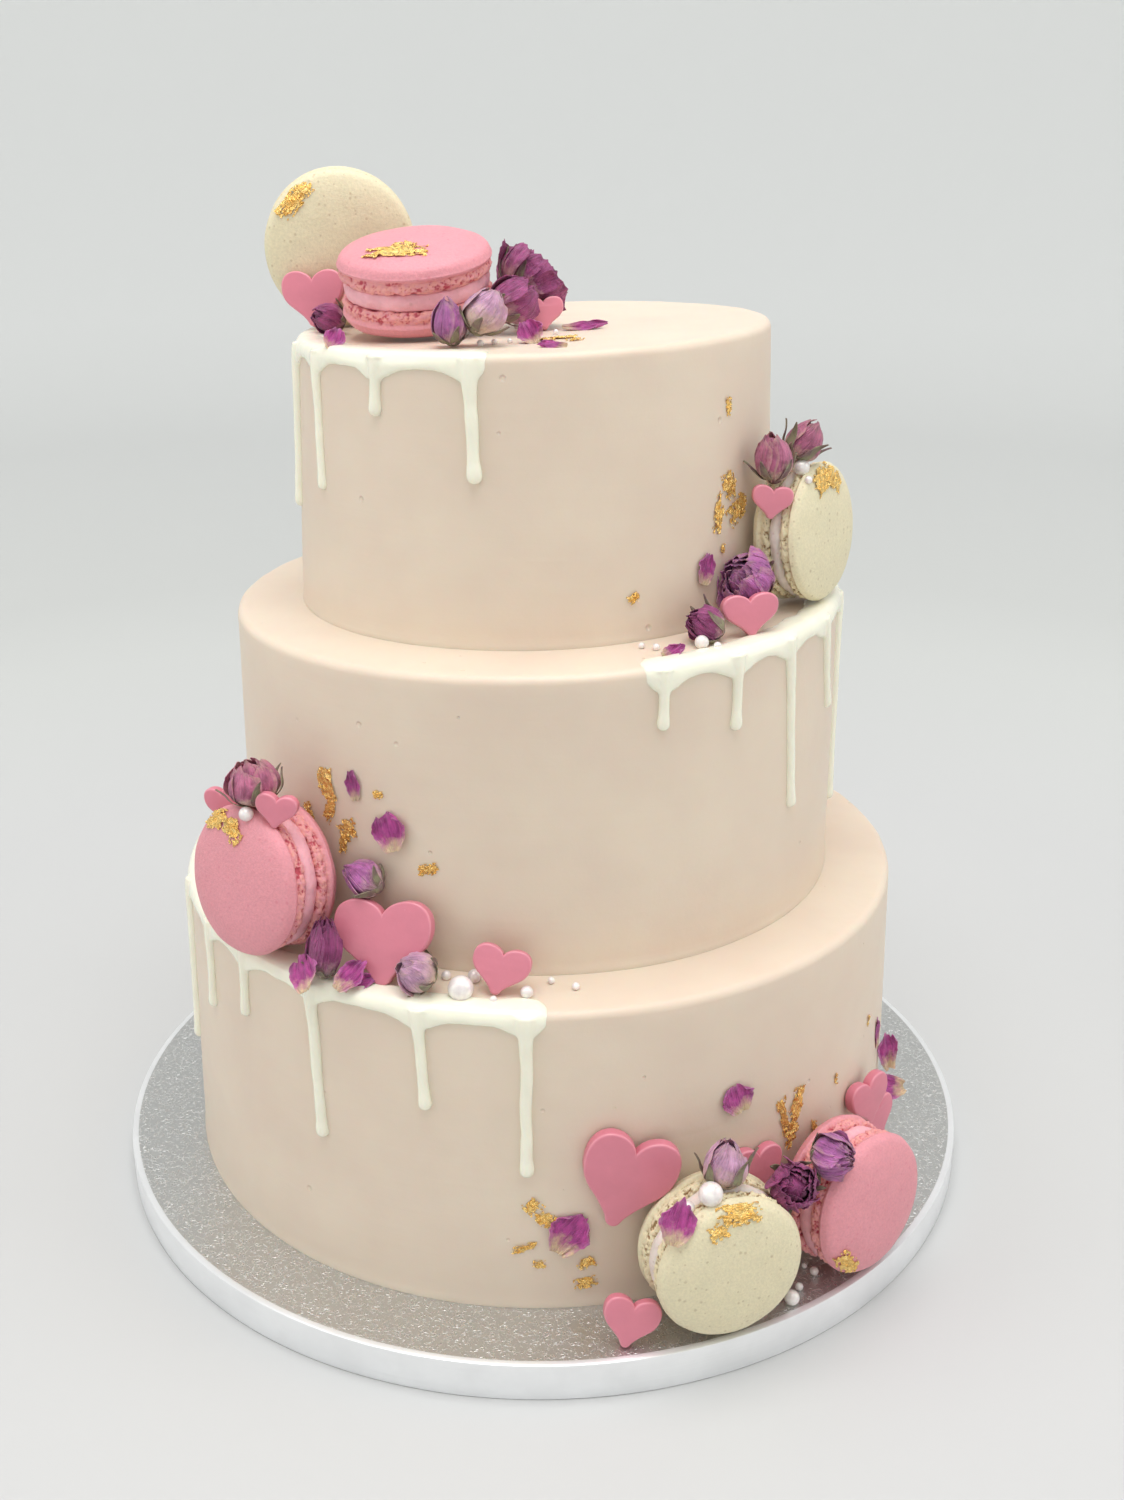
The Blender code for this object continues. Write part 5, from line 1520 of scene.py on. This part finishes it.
def make_camera():
    """The camera at the photograph's angle."""
    turn, lean = CAMERA_TURN, CAMERA_LEAN
    onward = Vector((math.sin(turn) * math.cos(lean), math.cos(turn) * math.cos(lean),
                     -math.sin(lean)))
    right = Vector((math.cos(turn), -math.sin(turn), 0.0))
    upward = right.cross(onward)
    start()
    bpy.ops.object.camera_add()
    camera = bpy.context.object
    camera.matrix_world = (Matrix.Translation(CAMERA_PLACE)
                           @ Matrix((right, upward, -onward)).transposed().to_4x4())
    camera.data.sensor_fit = "AUTO"
    camera.data.sensor_width = 36.0
    camera.data.lens = CAMERA_LENS
    camera.data.clip_start = 0.01
    bpy.context.scene.camera = camera


# ---------------------------------------------------------------------------------------------
# Operators
# ---------------------------------------------------------------------------------------------


def make_all(*works):
    """Model every name in each table with that table's maker."""
    for make, names in works:
        for name in names:
            make(name)
    return {"FINISHED"}


class CAKE_OT_board(bpy.types.Operator):
    """Model the silver board"""
    bl_idname = "cake.board"
    bl_label = "Silver board"

    def execute(self, context):
        make_board()
        return {"FINISHED"}


class CAKE_OT_buttercream(bpy.types.Operator):
    """Model the three tiers of buttercream"""
    bl_idname = "cake.buttercream"
    bl_label = "Buttercream tiers"

    def execute(self, context):
        return make_all((make_tier, TIERS))


class CAKE_OT_white_chocolate(bpy.types.Operator):
    """Model the white chocolate that runs down each tier"""
    bl_idname = "cake.white_chocolate"
    bl_label = "White chocolate"

    def execute(self, context):
        return make_all((make_chocolate, TIERS))


class CAKE_OT_macarons(bpy.types.Operator):
    """Model the six macarons, each of two shells and its filling"""
    bl_idname = "cake.macarons"
    bl_label = "Macarons"

    def execute(self, context):
        return make_all((make_macaron, MACARONS))


class CAKE_OT_hearts(bpy.types.Operator):
    """Model the chocolate hearts"""
    bl_idname = "cake.hearts"
    bl_label = "Chocolate hearts"

    def execute(self, context):
        return make_all((make_heart, HEARTS))


class CAKE_OT_rosebuds(bpy.types.Operator):
    """Model the dried rosebuds"""
    bl_idname = "cake.rosebuds"
    bl_label = "Dried rosebuds"

    def execute(self, context):
        return make_all((make_rosebud, ROSEBUDS))


class CAKE_OT_petals(bpy.types.Operator):
    """Model the loose petals, large and small"""
    bl_idname = "cake.petals"
    bl_label = "Loose petals"

    def execute(self, context):
        return make_all((make_petal, PETALS), (make_small_petals, TIERS))


class CAKE_OT_pearls(bpy.types.Operator):
    """Model the sugar pearls on the ledges, the board and the macarons"""
    bl_idname = "cake.pearls"
    bl_label = "Sugar pearls"

    def execute(self, context):
        return make_all((make_ledge_pearls, LEDGE_PEARLS), (make_shell_pearls, SHELL_PEARLS))


class CAKE_OT_gold_leaf(bpy.types.Operator):
    """Model the gold leaf on the walls and the macarons"""
    bl_idname = "cake.gold_leaf"
    bl_label = "Gold leaf"

    def execute(self, context):
        return make_all((make_wall_gold, WALL_GOLD), (make_shell_gold, SHELL_GOLD))


class CAKE_OT_stage(bpy.types.Operator):
    """Set up the pale floor, the soft lights and the camera"""
    bl_idname = "cake.stage"
    bl_label = "Stage"

    def execute(self, context):
        tones = context.scene.cake_stage
        make_floor()
        make_light("overhead", (0.0, -0.15, 1.75), (0.0, 0.0, 0.1), 1.3, tones.overhead)
        make_light("left", (-1.35, -0.35, 0.85), (0.0, 0.0, 0.15), 0.9, tones.sides)
        make_light("right", (1.35, -0.25, 0.85), (0.0, 0.0, 0.15), 0.9, tones.sides)
        make_light("front", (0.1, -1.5, 0.95), (0.0, 0.0, 0.15), 1.2, tones.front)
        world = bpy.data.worlds.new("even room light")
        world.use_nodes = True
        background = world.node_tree.nodes["Background"]
        background.inputs["Color"].default_value = (0.97, 0.985, 1.0, 1.0)
        background.inputs["Strength"].default_value = tones.sky
        context.scene.world = world
        context.scene.view_settings.view_transform = "Standard"
        make_camera()
        return {"FINISHED"}


OPERATORS = [CAKE_OT_board, CAKE_OT_buttercream, CAKE_OT_white_chocolate, CAKE_OT_macarons,
             CAKE_OT_hearts, CAKE_OT_rosebuds, CAKE_OT_petals, CAKE_OT_pearls, CAKE_OT_gold_leaf,
             CAKE_OT_stage]


class CAKE_PT_sidebar(bpy.types.Panel):
    """The cake's pieces and their settings"""
    bl_idname = "CAKE_PT_sidebar"
    bl_label = "Tiered wedding cake"
    bl_space_type = "VIEW_3D"
    bl_region_type = "UI"
    bl_category = "Cake"

    def draw(self, context):
        for operator in OPERATORS:
            self.layout.operator(operator.bl_idname)
        for label, group in SETTINGS.items():
            box = self.layout.box()
            for name in group.__annotations__:
                box.prop(getattr(context.scene, label), name)


def register():
    """Register the settings, operators and panel."""
    for group in SETTINGS.values():
        bpy.utils.register_class(group)
    for label, group in SETTINGS.items():
        setattr(bpy.types.Scene, label, PointerProperty(type=group))
    for operator in OPERATORS:
        bpy.utils.register_class(operator)
    bpy.utils.register_class(CAKE_PT_sidebar)


def unregister():
    """Remove what register added."""
    bpy.utils.unregister_class(CAKE_PT_sidebar)
    for operator in reversed(OPERATORS):
        bpy.utils.unregister_class(operator)
    for label in SETTINGS:
        delattr(bpy.types.Scene, label)
    for group in SETTINGS.values():
        bpy.utils.unregister_class(group)


def main():
    """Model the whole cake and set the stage."""
    register()
    bpy.ops.cake.board()
    bpy.ops.cake.buttercream()
    bpy.ops.cake.white_chocolate()
    bpy.ops.cake.macarons()
    bpy.ops.cake.hearts()
    bpy.ops.cake.rosebuds()
    bpy.ops.cake.petals()
    bpy.ops.cake.pearls()
    bpy.ops.cake.gold_leaf()
    bpy.ops.cake.stage()


if __name__ == "__main__":
    main()
